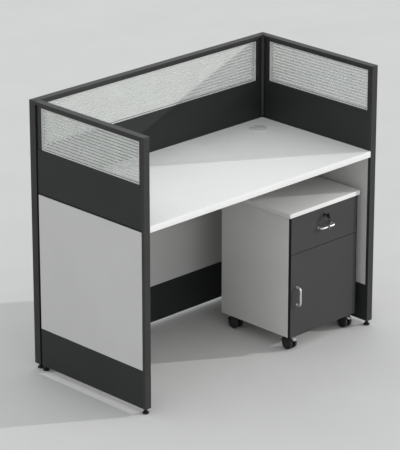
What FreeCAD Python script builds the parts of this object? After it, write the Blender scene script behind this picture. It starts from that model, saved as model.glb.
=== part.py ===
import FreeCAD, Part
import math
import os
from types import SimpleNamespace

import Sketcher

# A cubicle workstation: a desktop carried by three screen panels, with a rolling pedestal under it.
# The origin is on the floor at the middle of the footprint, +X to the right, +Y to the back, +Z up.

os.makedirs("parts", exist_ok=True)

# Driving dimensions, in millimetres; angles are in degrees
SIZES = {
    # Whole workstation
    "overall_width": 1260,
    "overall_depth": 630,
    "overall_height": 1100,
    "edge_break": 0.6,
    "overrun": 5,
    # Screen panels, framed in aluminium extrusions
    "panel_thickness": 30,
    "panel_bottom": 22,
    "skin_thickness": 4,
    "extrusion_wall": 2,
    "nose_depth": 13.5,
    "nose_chamber_depth": 7,
    "front_stile_depth": 27.5,
    "rear_stile_depth": 20,
    "tongue_depth": 10,
    "tongue_thickness": 14,
    "rail_height": 24,
    "desk_rail_height": 48,
    "top_nose_height": 12,
    "top_rail_height": 20.5,
    # Skins of the panels
    "kick_line": 177.5,
    "skin_gap": 1,
    "nose_gap": 0.3,
    "groove_below_desk": 20,
    "groove_height": 8,
    "glazing_start_share": 172 / 362,
    "skin_lip": 2.5,
    # Translucent ribbed sheets
    "glazing_thickness": 10,
    "glazing_play": 0.2,
    "glazing_seat": 6,
    "glazing_groove_depth": 7,
    "glazing_skin": 1,
    "glazing_rib": 1,
    "glazing_rib_pitch": 12.5,
    # Corner posts, and the caps that close the posts and the side panels' top rails
    "post_size": 35,
    "post_round": 4,
    "post_chamfer": 8,
    "post_wall": 2.5,
    "post_foot_block": 40,
    "post_cap_thickness": 3,
    "rail_cap_thickness": 2,
    "cap_spigot_length": 10,
    "cap_spigot_play": 0.15,
    # Levelling feet
    "foot_pad_radius": 13,
    "foot_pad_edge": 4,
    "foot_pad_height": 7,
    "foot_nut_height": 6.5,
    "foot_nut_flats": 13,
    "foot_stem_radius": 4,
    "foot_stem_engaged": 26,
    "foot_play": 0.05,
    "foot_bore_depth": 36,
    # Desktop
    "desk_height": 750,
    "desktop_thickness": 25,
    "desktop_play": 0.5,
    "desktop_corner_cut": 4,
    "edging_thickness": 2,
    # Cable grommet
    "grommet_from_side": 117,
    "grommet_from_back": 93,
    "grommet_hole_radius": 30,
    "grommet_play": 0.3,
    "grommet_wall": 2.7,
    "grommet_flange_radius": 37,
    "grommet_flange_thickness": 2.5,
    "grommet_length": 23,
    "grommet_recess": 1.5,
    "grommet_recess_radius": 31,
    "cap_rim_height": 5,
    "cap_rim_wall": 2,
    "cap_notch_width": 18,
    "cap_notch_depth": 12,
    # Steel angles under the desktop, with their screws
    "bracket_leg": 30,
    "bracket_gauge": 3,
    "bracket_setback": 85,
    "bracket_back_gap": 35,
    "bracket_hole_radius": 2.3,
    "bracket_hole_gauge_line": 18,
    "bracket_hole_inset": 60,
    "screw_stagger": 30,
    "screw_radius": 2,
    "screw_play": 0.05,
    "screw_length": 16,
    "screw_head_radius": 4,
    "screw_head_height": 2.5,
    # Pedestal carcass
    "pedestal_side_gap": 33,
    "pedestal_setback": 31,
    "pedestal_width": 380,
    "pedestal_depth": 384,
    "pedestal_height": 585,
    "pedestal_top_thickness": 18,
    "top_side_overhang": 10,
    "top_end_overhang": 3,
    "board_thickness": 16,
    "back_thickness": 12,
    "front_thickness": 12,
    "front_gap": 1,
    "front_top_gap": 3,
    "front_reveal": 2,
    "front_side_margin": 0.5,
    "drawer_band": 157.3,
    # Drawer tray and its runners
    "runner_thickness": 12.7,
    "runner_height": 45,
    "runner_length": 330,
    "runner_gauge": 1.2,
    "runner_play": 0.4,
    "runner_channel_depth": 10,
    "runner_middle_above_tray": 30,
    "runner_setback": 5,
    "tray_gauge": 1.2,
    "tray_height": 88,
    "tray_clearance": 7.3,
    "tray_length": 330,
    # Door hinges
    "hinge_cup_radius": 13,
    "hinge_cup_depth": 9,
    "hinge_cup_wall": 1,
    "hinge_cup_play": 0.1,
    "hinge_cup_from_edge": 18,
    "hinge_cup_flange": 2,
    "hinge_flange_thickness": 0.5,
    "hinge_from_end": 60,
    "hinge_plate_thickness": 3,
    "hinge_plate_height": 40,
    "hinge_plate_depth": 46,
    "hinge_plate_setback": 5,
    "hinge_arm_short_of_plate": 9,
    "hinge_arm_height": 16,
    "hinge_arm_width": 8,
    "hinge_arm_gap": 0.6,
    # Bow handles
    "handle_spacing": 74,
    "handle_rod_radius": 4,
    "handle_reach": 20,
    "handle_bend": 10,
    "handle_foot_radius": 5,
    "handle_foot_height": 2,
    "drawer_handle_below_lock": 46,
    "door_handle_above_bottom": 171,
    "door_handle_inset": 35.5,
    # Lock, key and key ring
    "lock_below_top": 31,
    "lock_body_radius": 8,
    "lock_body_play": 0.1,
    "lock_flange_radius": 10.5,
    "lock_flange_thickness": 2,
    "lock_body_behind": 6,
    "plug_radius": 5,
    "plug_play": 0.05,
    "plug_proud": 0.6,
    "cam_thickness": 2,
    "cam_width": 12,
    "cam_length": 24,
    "key_thickness": 2.4,
    "key_play": 0.1,
    "key_blade_height": 7,
    "key_blade_length": 17,
    "key_neck": 7.7,
    "key_bow_radius": 10,
    "key_hole_radius": 2.9,
    "key_hole_inset": 4.2,
    "ring_radius": 9,
    "ring_wire_radius": 0.7,
    "ring_turn": 45,
    # Twin-wheel casters
    "caster_inset_side": 30,
    "caster_inset_front": 37,
    "caster_inset_back": 34,
    "caster_plate": 42,
    "caster_plate_thickness": 2,
    "caster_stem_radius": 4,
    "caster_stem_play": 0.05,
    "stem_above_axle": 8,
    "caster_trail": 18,
    "wheel_radius": 25,
    "wheel_width": 12.5,
    "wheel_gap": 13,
    "tyre_wall": 6,
    "tyre_shoulder": 4.5,
    "tyre_round": 3,
    "tyre_crown": 1,
    "tyre_inner_round": 1.5,
    "rim_recess": 3,
    "hub_radius": 9,
    "hub_recess": 1.5,
    "hub_slope": 1.5,
    "axle_radius": 3,
    "axle_play": 0.05,
    "hood_web": 12,
    "hood_clearance": 1,
    "hood_skin": 2,
    "hood_width": 39,
    "hood_front_angle": 128,
    "hood_back_angle": 12,
    "hood_boss_radius": 9,
    "hood_top_gap": 5,
    # Brake levers of the two front casters
    "brake_angle": 120,
    "brake_ear_spread": 7,
    "brake_pin_radius": 1,
    "brake_pin_play": 0.05,
    "brake_knuckle_radius": 2,
    "brake_stand_off": 3,
    "brake_ear_thickness": 2.5,
    "brake_ear_radius": 2.6,
    "brake_ear_play": 0.3,
    "brake_lever_width": 20,
    "brake_lever_length": 19,
    "brake_lever_thickness": 2,
    "brake_lever_slope": 39,
    "brake_shoe_place": 8,
    "brake_shoe_length": 5,
    "brake_shoe_height": 3.6,
}

document = FreeCAD.newDocument("cubicle_workstation")
sheet = document.addObject("Spreadsheet::Sheet", "Sizes")
for row, (name, number) in enumerate(SIZES.items(), start=1):
    sheet.set(f"A{row}", name)
    sheet.set(f"B{row}", str(number))
    sheet.setAlias(f"B{row}", name)
document.recompute()


class Length:
    """A size with the sheet formula that gives it, so that sums of sizes stay bound to the sheet."""

    def __init__(self, formula, value):
        self.formula = formula
        self.value = value

    def __add__(self, other):
        other = length(other)
        return Length(f"({self.formula} + {other.formula})", self.value + other.value)

    def __sub__(self, other):
        other = length(other)
        return Length(f"({self.formula} - {other.formula})", self.value - other.value)

    def __mul__(self, factor):
        factor = length(factor)
        return Length(f"({self.formula} * {factor.formula})", self.value * factor.value)

    def __truediv__(self, factor):
        factor = length(factor)
        return Length(f"({self.formula} / {factor.formula})", self.value / factor.value)

    def __neg__(self):
        return Length(f"(0 - {self.formula})", -self.value)

    __radd__ = __add__
    __rmul__ = __mul__


def length(value):
    """A plain number as a Length; a Length stays as it is."""
    return value if isinstance(value, Length) else Length(repr(value), float(value))


def cosine(angle):
    return Length(f"cos({angle.formula} * 1deg)", math.cos(math.radians(angle.value)))


def sine(angle):
    return Length(f"sin({angle.formula} * 1deg)", math.sin(math.radians(angle.value)))


s = SimpleNamespace(**{name: Length(f"Sizes.{name}", float(number)) for name, number in SIZES.items()})

# Places that several pieces share
half_panel = s.panel_thickness / 2
half_core = half_panel - s.skin_thickness
half_groove = s.glazing_thickness / 2 + s.glazing_play
nose_bottom = s.overall_height - s.top_nose_height
glazing_top = s.overall_height - s.top_rail_height
groove_bottom = s.desk_height - s.groove_below_desk
groove_top = groove_bottom + s.groove_height
glazing_bottom = groove_top + (s.overall_height - groove_top) * s.glazing_start_share
front_y = -s.overall_depth / 2
back_y = s.overall_depth / 2
inner_x = s.overall_width / 2 - s.panel_thickness
inner_y = back_y - s.panel_thickness
side_length = s.overall_depth - s.post_size - s.tongue_depth
back_length = s.overall_width - (s.post_size + s.tongue_depth) * 2
desktop_bottom = s.desk_height - s.desktop_thickness
screw_line_z = desktop_bottom - s.bracket_hole_gauge_line
bracket_length = inner_y - s.bracket_back_gap - front_y - s.bracket_setback
screw_pitch = (bracket_length - s.bracket_hole_inset * 2) / 2
first_screw = s.bracket_setback + s.bracket_hole_inset
screw_places = [first_screw + screw_pitch * step for step in range(3)]

# Small helpers around bodies, sketches and features

PLANES = {"x": ("YZ_Plane", 1), "y": ("XZ_Plane", -1), "z": ("XY_Plane", 1)}
TOLERANCE = 1e-6


def bind(target, path, value):
    target.setExpression(path, length(value).formula)


def place(piece, x=0, y=0, z=0, axis=(0, 0, 1), turn=0):
    """Gives a piece its place, with its position bound to the sheet."""
    spot = FreeCAD.Vector(length(x).value, length(y).value, length(z).value)
    piece.Placement = FreeCAD.Placement(spot, FreeCAD.Rotation(FreeCAD.Vector(*axis), turn))
    for letter, value in zip("xyz", (x, y, z)):
        bind(piece, f"Placement.Base.{letter}", value)
    return piece


def new_body(label):
    body = document.addObject("PartDesign::Body", label)
    body.Label = label
    return body


def new_sketch(body, axis, offset=0):
    """A sketch across one axis of the body, at an offset along that axis."""
    role, sign = PLANES[axis]
    plane = next(item for item in body.Origin.OriginFeatures if item.Role == role)
    sketch = body.newObject("Sketcher::SketchObject", f"{body.Name}_sketch")
    sketch.AttachmentSupport = (plane, "")
    sketch.MapMode = "FlatFace"
    bind(sketch, "AttachmentOffset.Base.z", length(offset) * sign)
    return sketch


def fix_point(sketch, geometry, position, u, v):
    """Holds a point of a sketch at u, v with constraints bound to the sheet."""
    for kind, value, own_axis in (("DistanceX", length(u), -2), ("DistanceY", length(v), -1)):
        if abs(value.value) < TOLERANCE:
            sketch.addConstraint(Sketcher.Constraint("PointOnObject", geometry, position, own_axis))
            continue
        number = sketch.addConstraint(
            Sketcher.Constraint(kind, -1, 1, geometry, position, value.value)
        )
        bind(sketch, f"Constraints[{number}]", value)


def add_circle(sketch, u, v, radius):
    centre = FreeCAD.Vector(length(u).value, length(v).value, 0)
    circle = sketch.addGeometry(Part.Circle(centre, FreeCAD.Vector(0, 0, 1), radius.value), False)
    number = sketch.addConstraint(Sketcher.Constraint("Radius", circle, radius.value))
    bind(sketch, f"Constraints[{number}]", radius)
    fix_point(sketch, circle, 3, u, v)


def sign_of(value):
    return 0 if abs(value) < TOLERANCE else math.copysign(1, value)


def towards(start, end, distance):
    """The point at a distance from start along a line that is level or upright."""
    return [
        length(a) + distance * int(sign_of(length(b).value - length(a).value))
        for a, b in zip(start[:2], end[:2])
    ]


def add_line(sketch, start, end):
    first = FreeCAD.Vector(length(start[0]).value, length(start[1]).value, 0)
    last = FreeCAD.Vector(length(end[0]).value, length(end[1]).value, 0)
    line = sketch.addGeometry(Part.LineSegment(first, last), False)
    fix_point(sketch, line, 1, *start)
    fix_point(sketch, line, 2, *end)


def add_corner_arc(sketch, before, corner, after, radius):
    """A quarter turn that is tangent to two square lines meeting at the corner."""
    start = towards(corner, before, radius)
    end = towards(corner, after, radius)
    centre = FreeCAD.Vector(
        start[0].value + end[0].value - length(corner[0]).value,
        start[1].value + end[1].value - length(corner[1]).value,
        0,
    )
    first, last = [FreeCAD.Vector(point[0].value, point[1].value, 0) - centre for point in (start, end)]
    if first.cross(last).z < 0:
        first, last, start, end = last, first, end, start
    angles = [math.atan2(ray.y, ray.x) for ray in (first, last)]
    circle = Part.Circle(centre, FreeCAD.Vector(0, 0, 1), radius.value)
    arc = sketch.addGeometry(Part.ArcOfCircle(circle, *angles), False)
    fix_point(sketch, arc, 1, *start)
    fix_point(sketch, arc, 2, *end)
    number = sketch.addConstraint(Sketcher.Constraint("Radius", arc, radius.value))
    bind(sketch, f"Constraints[{number}]", radius)


def add_outline(sketch, points):
    """A closed outline; a point with a third value is a square corner rounded by that radius."""
    count = len(points)
    for index, point in enumerate(points):
        before = points[index - 1]
        after = points[(index + 1) % count]
        start = towards(point, after, point[2]) if len(point) > 2 else point
        end = towards(after, point, after[2]) if len(after) > 2 else after
        add_line(sketch, start[:2], end[:2])
        if len(point) > 2:
            add_corner_arc(sketch, before, point, after, point[2])


def rectangle(u_low, v_low, u_high, v_high):
    return [(u_low, v_low), (u_high, v_low), (u_high, v_high), (u_low, v_high)]


def extrude(body, axis, low, high, outlines=(), circles=(), cut=False):
    """Adds or cuts a prism along one axis of the body, between two places on that axis."""
    low, high = length(low), length(high)
    sketch = new_sketch(body, axis, high if PLANES[axis][1] < 0 else low)
    for points in outlines:
        add_outline(sketch, points)
    for circle in circles:
        add_circle(sketch, *circle)
    before = body.Shape.Volume if cut else 0
    kind = "PartDesign::Pocket" if cut else "PartDesign::Pad"
    feature = body.newObject(kind, f"{body.Name}_{'cut' if cut else 'pad'}")
    feature.Profile = sketch
    feature.Reversed = cut
    bind(feature, "Length", high - low)
    document.recompute()
    if cut and not body.Shape.Volume < before:
        raise RuntimeError(f"{body.Label}: a cut along {axis} removes nothing")
    return feature


def cut(body, axis, low, high, outlines=(), circles=()):
    return extrude(body, axis, low, high, outlines, circles, cut=True)


def box(label, x_low, x_high, y_low, y_high, z_low, z_high):
    body = new_body(label)
    extrude(body, "z", z_low, z_high, [rectangle(x_low, y_low, x_high, y_high)])
    return body


def turn(body, axis, points):
    """A turned solid about one axis of the body, from an outline of (place on the axis, radius)."""
    if axis == "z":
        sketch = new_sketch(body, "y")
        add_outline(sketch, [(radius, place_on_axis) for place_on_axis, radius in points])
        line = "V_Axis"
    else:
        sketch = new_sketch(body, "z" if axis == "x" else "x")
        add_outline(sketch, points)
        line = "H_Axis"
    feature = body.newObject("PartDesign::Revolution", f"{body.Name}_turned")
    feature.Profile = sketch
    feature.ReferenceAxis = (sketch, [line])
    document.recompute()
    return feature


def straight_edges(shape, axis, places=None):
    """Names of the straight edges along one axis, or of those that pass through the given places."""
    index = "xyz".index(axis)
    others = [number for number in range(3) if number != index]
    found = []
    for number, edge in enumerate(shape.Edges, start=1):
        if not isinstance(edge.Curve, Part.Line):
            continue
        span = edge.Vertexes[-1].Point - edge.Vertexes[0].Point
        if abs(abs(span[index]) - span.Length) > TOLERANCE:
            continue
        spot = [edge.Vertexes[0].Point[other] for other in others]
        if places is None or any(
            all(abs(length(want).value - have) < TOLERANCE for want, have in zip(place_at, spot))
            for place_at in places
        ):
            found.append(f"Edge{number}")
    return found


def soften(body, size, edges, kind="Chamfer"):
    """Breaks or rounds the named edges of the body's last feature."""
    base = body.Tip
    feature = body.newObject(f"PartDesign::{kind}", f"{body.Name}_{kind.lower()}")
    feature.Base = (base, edges)
    bind(feature, "Size" if kind == "Chamfer" else "Radius", size)
    document.recompute()
    return feature


def group(label, pieces):
    """Alike pieces that share one node, as separate solids."""
    compound = document.addObject("Part::Compound", label)
    compound.Label = label
    compound.Links = pieces
    nodes.append(compound)


def keep(piece):
    nodes.append(piece)
    return piece


nodes = []

# Screen panels: each is drawn with its length along X, its thickness about Y = 0, then placed


def stile_at_post(label, panel_length, at_start):
    """A stile beside a corner post: glazing groove on one side, tongue for the post on the other."""
    near = panel_length - s.rear_stile_depth
    groove_floor = near + s.glazing_groove_depth
    tongue_end = panel_length + s.tongue_depth
    half_tongue = s.tongue_thickness / 2
    points = [
        (near, -half_core),
        (panel_length, -half_core),
        (panel_length, -half_tongue),
        (tongue_end, -half_tongue),
        (tongue_end, half_tongue),
        (panel_length, half_tongue),
        (panel_length, half_core),
        (near, half_core),
        (near, half_groove),
        (groove_floor, half_groove),
        (groove_floor, -half_groove),
        (near, -half_groove),
    ]
    if at_start:
        points = [(panel_length - u, v) for u, v in points]
    body = new_body(label)
    extrude(body, "z", s.panel_bottom, nose_bottom, [points])
    return body


def front_stile(label):
    """The end of a side panel: a full-thickness nose, then the groove for the sheet."""
    groove_floor = s.front_stile_depth - s.glazing_groove_depth
    points = [
        (0, -half_panel, s.edge_break),
        (s.nose_depth, -half_panel),
        (s.nose_depth, -half_core),
        (s.front_stile_depth, -half_core),
        (s.front_stile_depth, -half_groove),
        (groove_floor, -half_groove),
        (groove_floor, half_groove),
        (s.front_stile_depth, half_groove),
        (s.front_stile_depth, half_core),
        (s.nose_depth, half_core),
        (s.nose_depth, half_panel),
        (0, half_panel, s.edge_break),
    ]
    body = new_body(label)
    extrude(body, "z", s.panel_bottom, nose_bottom, [points])
    chamber_end = s.extrusion_wall + s.nose_chamber_depth
    half_chamber = half_panel - s.extrusion_wall
    chamber = rectangle(s.extrusion_wall, -half_chamber, chamber_end, half_chamber)
    cut(body, "z", s.panel_bottom, nose_bottom, [chamber])
    return body


def foot_bore(body, x, y):
    """The hole for a levelling foot's stem, in the bottom of a stile or post."""
    top = s.panel_bottom + s.foot_bore_depth
    cut(body, "z", s.panel_bottom, top, circles=[(x, y, s.foot_stem_radius + s.foot_play)])


front_bore_wall_start = s.extrusion_wall + s.nose_chamber_depth
front_bore_wall_end = s.front_stile_depth - s.glazing_groove_depth
front_foot_x = (front_bore_wall_start + front_bore_wall_end) / 2
rear_foot_x = side_length - (s.rear_stile_depth - s.glazing_groove_depth) / 2


def tube_rail(label, x_low, x_high, z_low, height):
    """A plain rectangular tube between two stiles."""
    z_high = z_low + height
    wall = s.extrusion_wall
    outer = rectangle(-half_core, z_low, half_core, z_high)
    inner = rectangle(-half_core + wall, z_low + wall, half_core - wall, z_high - wall)
    body = new_body(label)
    extrude(body, "x", x_low, x_high, [outer, inner])
    return body


def glazing_rail(label, x_low, x_high):
    """The rail under the translucent sheet, with the groove that holds the sheet's lower edge."""
    z_low = glazing_bottom - s.rail_height
    floor = glazing_bottom - s.glazing_groove_depth
    wall = s.extrusion_wall
    outer = [
        (-half_core, z_low),
        (half_core, z_low),
        (half_core, glazing_bottom),
        (half_groove, glazing_bottom),
        (half_groove, floor),
        (-half_groove, floor),
        (-half_groove, glazing_bottom),
        (-half_core, glazing_bottom),
    ]
    inner = rectangle(-half_core + wall, z_low + wall, half_core - wall, floor - wall)
    body = new_body(label)
    extrude(body, "x", x_low, x_high, [outer, inner])
    return body


def rail_nose_outline():
    """The full-width top of a top rail, seen along the rail."""
    return [
        (-half_panel, nose_bottom),
        (half_panel, nose_bottom),
        (half_panel, s.overall_height, s.edge_break),
        (-half_panel, s.overall_height, s.edge_break),
    ]


def rail_chamber(play=0):
    """The hollow inside a top rail's nose, less a play all round."""
    inset = s.extrusion_wall + play
    half = half_panel - inset
    return rectangle(-half, nose_bottom + inset, half, s.overall_height - inset)


def top_rail(label, x_low, x_high, nose_low, nose_high):
    """The rail over the translucent sheet: a grooved web between the stiles and a full-width nose."""
    floor = glazing_top + s.glazing_groove_depth
    web = [
        (-half_core, glazing_top),
        (-half_groove, glazing_top),
        (-half_groove, floor),
        (half_groove, floor),
        (half_groove, glazing_top),
        (half_core, glazing_top),
        (half_core, nose_bottom),
        (-half_core, nose_bottom),
    ]
    body = new_body(label)
    extrude(body, "x", nose_low, nose_high, [rail_nose_outline(), rail_chamber()])
    extrude(body, "x", x_low, x_high, [web])
    return body


def glazing(label, x_low, x_high):
    """A twin-wall sheet whose ribs run along the panel, seated in grooves on all four sides."""
    z_low = glazing_bottom - s.glazing_seat
    z_high = glazing_top + s.glazing_seat
    half = s.glazing_thickness / 2
    body = box(label, x_low - s.glazing_seat, x_high + s.glazing_seat, -half, half, z_low, z_high)
    hollow = half - s.glazing_skin
    start = z_low + s.glazing_rib
    channel = rectangle(-hollow, start, hollow, start + s.glazing_rib_pitch - s.glazing_rib)
    first = cut(body, "x", x_low - s.glazing_seat, x_high + s.glazing_seat, [channel])
    usable = (z_high - z_low - s.glazing_rib).value
    rows = body.newObject("PartDesign::LinearPattern", f"{label}_channels")
    rows.Originals = [first]
    rows.Direction = (first.Profile[0], ["V_Axis"])
    rows.Mode = "Spacing"
    bind(rows, "Offset", s.glazing_rib_pitch)
    rows.Occurrences = int(usable / s.glazing_rib_pitch.value)
    body.Tip = rows
    document.recompute()
    return body


def skin(label, x_low, x_high, z_low, z_high, side):
    """A clip-on skin on one face of a panel; side is 1 for the +Y face and -1 for the other."""
    inner = half_core * side
    outer = half_panel * side
    y_low, y_high = (inner, outer) if side > 0 else (outer, inner)
    body = box(label, x_low, x_high, y_low, y_high, z_low, z_high)
    rim = straight_edges(body.Shape, "x", [(outer, z_low), (outer, z_high)])
    rim += straight_edges(body.Shape, "z", [(x_low, outer), (x_high, outer)])
    soften(body, s.edge_break, rim)
    return body


def bracket_screw_holes(body, side, depth_low, depth_high, setback):
    """Pilot holes for the desk bracket's level screws, in one face of a side panel."""
    radius = s.screw_radius + s.screw_play
    holes = [(spot + s.screw_stagger - setback, screw_line_z, radius) for spot in screw_places]
    near, far = depth_low * side, depth_high * side
    low, high = (near, far) if side > 0 else (far, near)
    cut(body, "y", low, high, circles=holes)


def screen_panel(name, panel_length, x, y, turned, has_nose, desk_side):
    """One screen panel, placed with its start at x, y; desk_side is the face towards the desk."""
    frame_start = s.front_stile_depth if has_nose else s.rear_stile_depth
    frame_end = panel_length - s.rear_stile_depth
    skin_start = s.nose_depth + s.nose_gap if has_nose else length(0)
    top_nose_start = s.rail_cap_thickness if has_nose else -s.tongue_depth
    desk_rail_low = groove_top + s.groove_height - s.desk_rail_height
    kick_rail_low = s.kick_line - s.rail_height / 2

    if has_nose:
        first_stile = front_stile(f"{name}_front_stile")
    else:
        first_stile = stile_at_post(f"{name}_left_stile", panel_length, True)
    stiles = [first_stile, stile_at_post(f"{name}_rear_stile", panel_length, False)]
    if has_nose:
        foot_bore(stiles[0], front_foot_x, 0)
        foot_bore(stiles[1], rear_foot_x, 0)

    span = (frame_start, frame_end)
    desk_rail = tube_rail(f"{name}_desk_rail", *span, desk_rail_low, s.desk_rail_height)
    rails = [
        tube_rail(f"{name}_bottom_rail", *span, s.panel_bottom, s.rail_height),
        tube_rail(f"{name}_kick_rail", *span, kick_rail_low, s.rail_height),
        desk_rail,
        glazing_rail(f"{name}_glazing_rail", *span),
        top_rail(f"{name}_top_rail", *span, top_nose_start, panel_length + s.tongue_depth),
    ]
    sheet_body = glazing(f"{name}_glazing", frame_start, frame_end)

    bands = {
        "kick": (s.panel_bottom, s.kick_line - s.skin_gap / 2),
        "lower": (s.kick_line + s.skin_gap / 2, groove_bottom),
        "upper": (groove_top, glazing_bottom + s.skin_lip),
    }
    skins = {
        band: [
            skin(f"{name}_{band}_skin_{face}", skin_start, panel_length, low, high, side)
            for face, side in (("out", -desk_side), ("in", desk_side))
        ]
        for band, (low, high) in bands.items()
    }
    if has_nose:
        bracket_screw_holes(skins["lower"][1], desk_side, half_core, half_panel, 0)
        bracket_screw_holes(desk_rail, desk_side, half_core - s.extrusion_wall, half_core, 0)

    for body in stiles + rails + [sheet_body] + skins["kick"] + skins["lower"] + skins["upper"]:
        place(body, x, y, 0, turn=turned)
    group(f"{name}_stiles", stiles)
    group(f"{name}_rails", rails)
    keep(sheet_body)
    group(f"{name}_lower_tiles", skins["lower"])
    return skins


side_x = s.overall_width / 2 - half_panel
left_skins = screen_panel("left", side_length, -side_x, front_y, 90, True, -1)
right_skins = screen_panel("right", side_length, side_x, front_y, 90, True, 1)
back_skins = screen_panel("back", back_length, -back_length / 2, back_y - half_panel, 0, False, -1)
group("upper_tiles", left_skins["upper"] + right_skins["upper"] + back_skins["upper"])
group("kick_tiles", left_skins["kick"] + right_skins["kick"] + back_skins["kick"])

# Corner posts, and the caps of the posts and of the side panels' top rails


def post_outline(side, inset=0):
    """The post's plan: rounded at the outer corner of the workstation, chamfered at the inner one."""
    inset = length(inset)
    inner = (s.overall_width / 2 - s.post_size + inset) * side
    outer = (s.overall_width / 2 - inset) * side
    near = back_y - s.post_size + inset
    far = back_y - inset
    return [
        (inner + s.post_chamfer * side, near),
        (outer, near),
        (outer, far, s.post_round - inset),
        (inner, far),
        (inner, near + s.post_chamfer),
    ]


def corner_post(label, side):
    body = new_body(label)
    top = s.overall_height - s.post_cap_thickness
    extrude(body, "z", s.panel_bottom, top, [post_outline(side)])
    cut(body, "z", s.panel_bottom + s.post_foot_block, top, [post_outline(side, s.post_wall)])
    foot_bore(body, post_foot_x * side, post_foot_y)
    return keep(body)


def post_cap(label, side):
    body = new_body(label)
    bottom = s.overall_height - s.post_cap_thickness
    extrude(body, "z", bottom, s.overall_height, [post_outline(side)])
    spigot = post_outline(side, s.post_wall + s.cap_spigot_play)
    extrude(body, "z", bottom - s.cap_spigot_length, bottom, [spigot])
    return body


def rail_cap(label, x):
    """The moulded cap on the front end of a side panel's top rail."""
    body = new_body(label)
    spigot_end = s.rail_cap_thickness + s.cap_spigot_length
    extrude(body, "x", 0, s.rail_cap_thickness, [rail_nose_outline()])
    extrude(body, "x", s.rail_cap_thickness, spigot_end, [rail_chamber(s.cap_spigot_play)])
    return place(body, x, front_y, 0, turn=90)


post_foot_x = s.overall_width / 2 - s.post_size / 2
post_foot_y = back_y - s.post_size / 2
corner_post("left_corner_post", -1)
corner_post("right_corner_post", 1)
frame_caps = [
    post_cap("left_post_cap", -1),
    post_cap("right_post_cap", 1),
    rail_cap("left_rail_cap", -side_x),
    rail_cap("right_rail_cap", side_x),
]
group("frame_caps", frame_caps)

# Levelling feet


def levelling_foot(label, x, y):
    """A round pad, a hexagon nut and a threaded stem in one piece, standing on the floor."""
    body = new_body(label)
    pad = s.foot_pad_radius
    turn(
        body,
        "z",
        [
            (0, 0),
            (0, pad - s.edge_break),
            (s.edge_break, pad),
            (s.foot_pad_edge, pad),
            (s.foot_pad_height, s.foot_nut_flats / 2),
            (s.foot_pad_height, s.foot_stem_radius),
            (s.panel_bottom + s.foot_stem_engaged, s.foot_stem_radius),
            (s.panel_bottom + s.foot_stem_engaged, 0),
        ],
    )
    corner = s.foot_nut_flats / math.sqrt(3)
    hexagon = [
        (corner * math.cos(math.radians(60 * step)), corner * math.sin(math.radians(60 * step)))
        for step in range(6)
    ]
    extrude(body, "z", s.foot_pad_height, s.foot_pad_height + s.foot_nut_height, [hexagon])
    return keep(place(body, x, y))


for side_name, side in (("left", -1), ("right", 1)):
    levelling_foot(f"{side_name}_front_foot", side_x * side, front_y + front_foot_x)
    levelling_foot(f"{side_name}_rear_foot", side_x * side, front_y + rear_foot_x)
    levelling_foot(f"{side_name}_post_foot", post_foot_x * side, post_foot_y)

# Desktop, its edging, and the angles that carry it

desktop_half_width = inner_x - s.desktop_play
desktop_front = front_y + s.edging_thickness
desktop_back = inner_y - s.desktop_play
bracket_line_x = inner_x - s.bracket_hole_gauge_line
grommet_x = inner_x - s.grommet_from_side
grommet_y = inner_y - s.grommet_from_back

desktop = new_body("desktop")
extrude(
    desktop,
    "z",
    desktop_bottom,
    s.desk_height,
    [
        [
            (-desktop_half_width, desktop_front),
            (desktop_half_width, desktop_front),
            (desktop_half_width, desktop_back - s.desktop_corner_cut),
            (desktop_half_width - s.desktop_corner_cut, desktop_back),
            (-desktop_half_width + s.desktop_corner_cut, desktop_back),
            (-desktop_half_width, desktop_back - s.desktop_corner_cut),
        ]
    ],
)
cut(
    desktop,
    "z",
    desktop_bottom,
    s.desk_height,
    circles=[(grommet_x, grommet_y, s.grommet_hole_radius)],
)
pilot_radius = s.screw_radius + s.screw_play
cut(
    desktop,
    "z",
    desktop_bottom,
    desktop_bottom + s.screw_length,
    circles=[
        (bracket_line_x * side, front_y + spot, pilot_radius) for side in (-1, 1) for spot in screw_places
    ],
)
keep(desktop)

edging = box(
    "desktop_edging",
    -desktop_half_width,
    desktop_half_width,
    front_y,
    desktop_front,
    desktop_bottom,
    s.desk_height,
)
soften(
    edging,
    s.edge_break,
    straight_edges(edging.Shape, "x", [(front_y, desktop_bottom), (front_y, s.desk_height)]),
    "Fillet",
)
keep(edging)


def desk_bracket(label, side):
    """A steel angle: its upright leg lies on the side panel, its level leg under the desktop."""
    wall = inner_x * side
    tip = (inner_x - s.bracket_leg) * side
    inside = (inner_x - s.bracket_gauge) * side
    points = [
        (wall, desktop_bottom),
        (tip, desktop_bottom),
        (tip, desktop_bottom - s.bracket_gauge),
        (inside, desktop_bottom - s.bracket_gauge),
        (inside, desktop_bottom - s.bracket_leg),
        (wall, desktop_bottom - s.bracket_leg),
    ]
    body = new_body(label)
    low = front_y + s.bracket_setback
    extrude(body, "y", low, low + bracket_length, [points])
    level = [(bracket_line_x * side, front_y + spot, s.bracket_hole_radius) for spot in screw_places]
    cut(body, "z", desktop_bottom - s.bracket_gauge, desktop_bottom, circles=level)
    upright = [
        (front_y + spot + s.screw_stagger, screw_line_z, s.bracket_hole_radius) for spot in screw_places
    ]
    cut(body, "x", wall if side < 0 else inside, inside if side < 0 else wall, circles=upright)
    return body


def screw(label, x, y, z, axis, turned):
    """A pan-head screw with its head's seat at the given place and its shank along +Z before turning."""
    body = new_body(label)
    head = s.screw_head_radius
    turn(
        body,
        "z",
        [
            (-s.screw_head_height, 0),
            (-s.screw_head_height, head - s.edge_break),
            (-s.screw_head_height + s.edge_break, head),
            (0, head),
            (0, s.screw_radius),
            (s.screw_length - s.screw_radius, s.screw_radius),
            (s.screw_length, 0),
        ],
    )
    return place(body, x, y, z, axis, turned)


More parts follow.
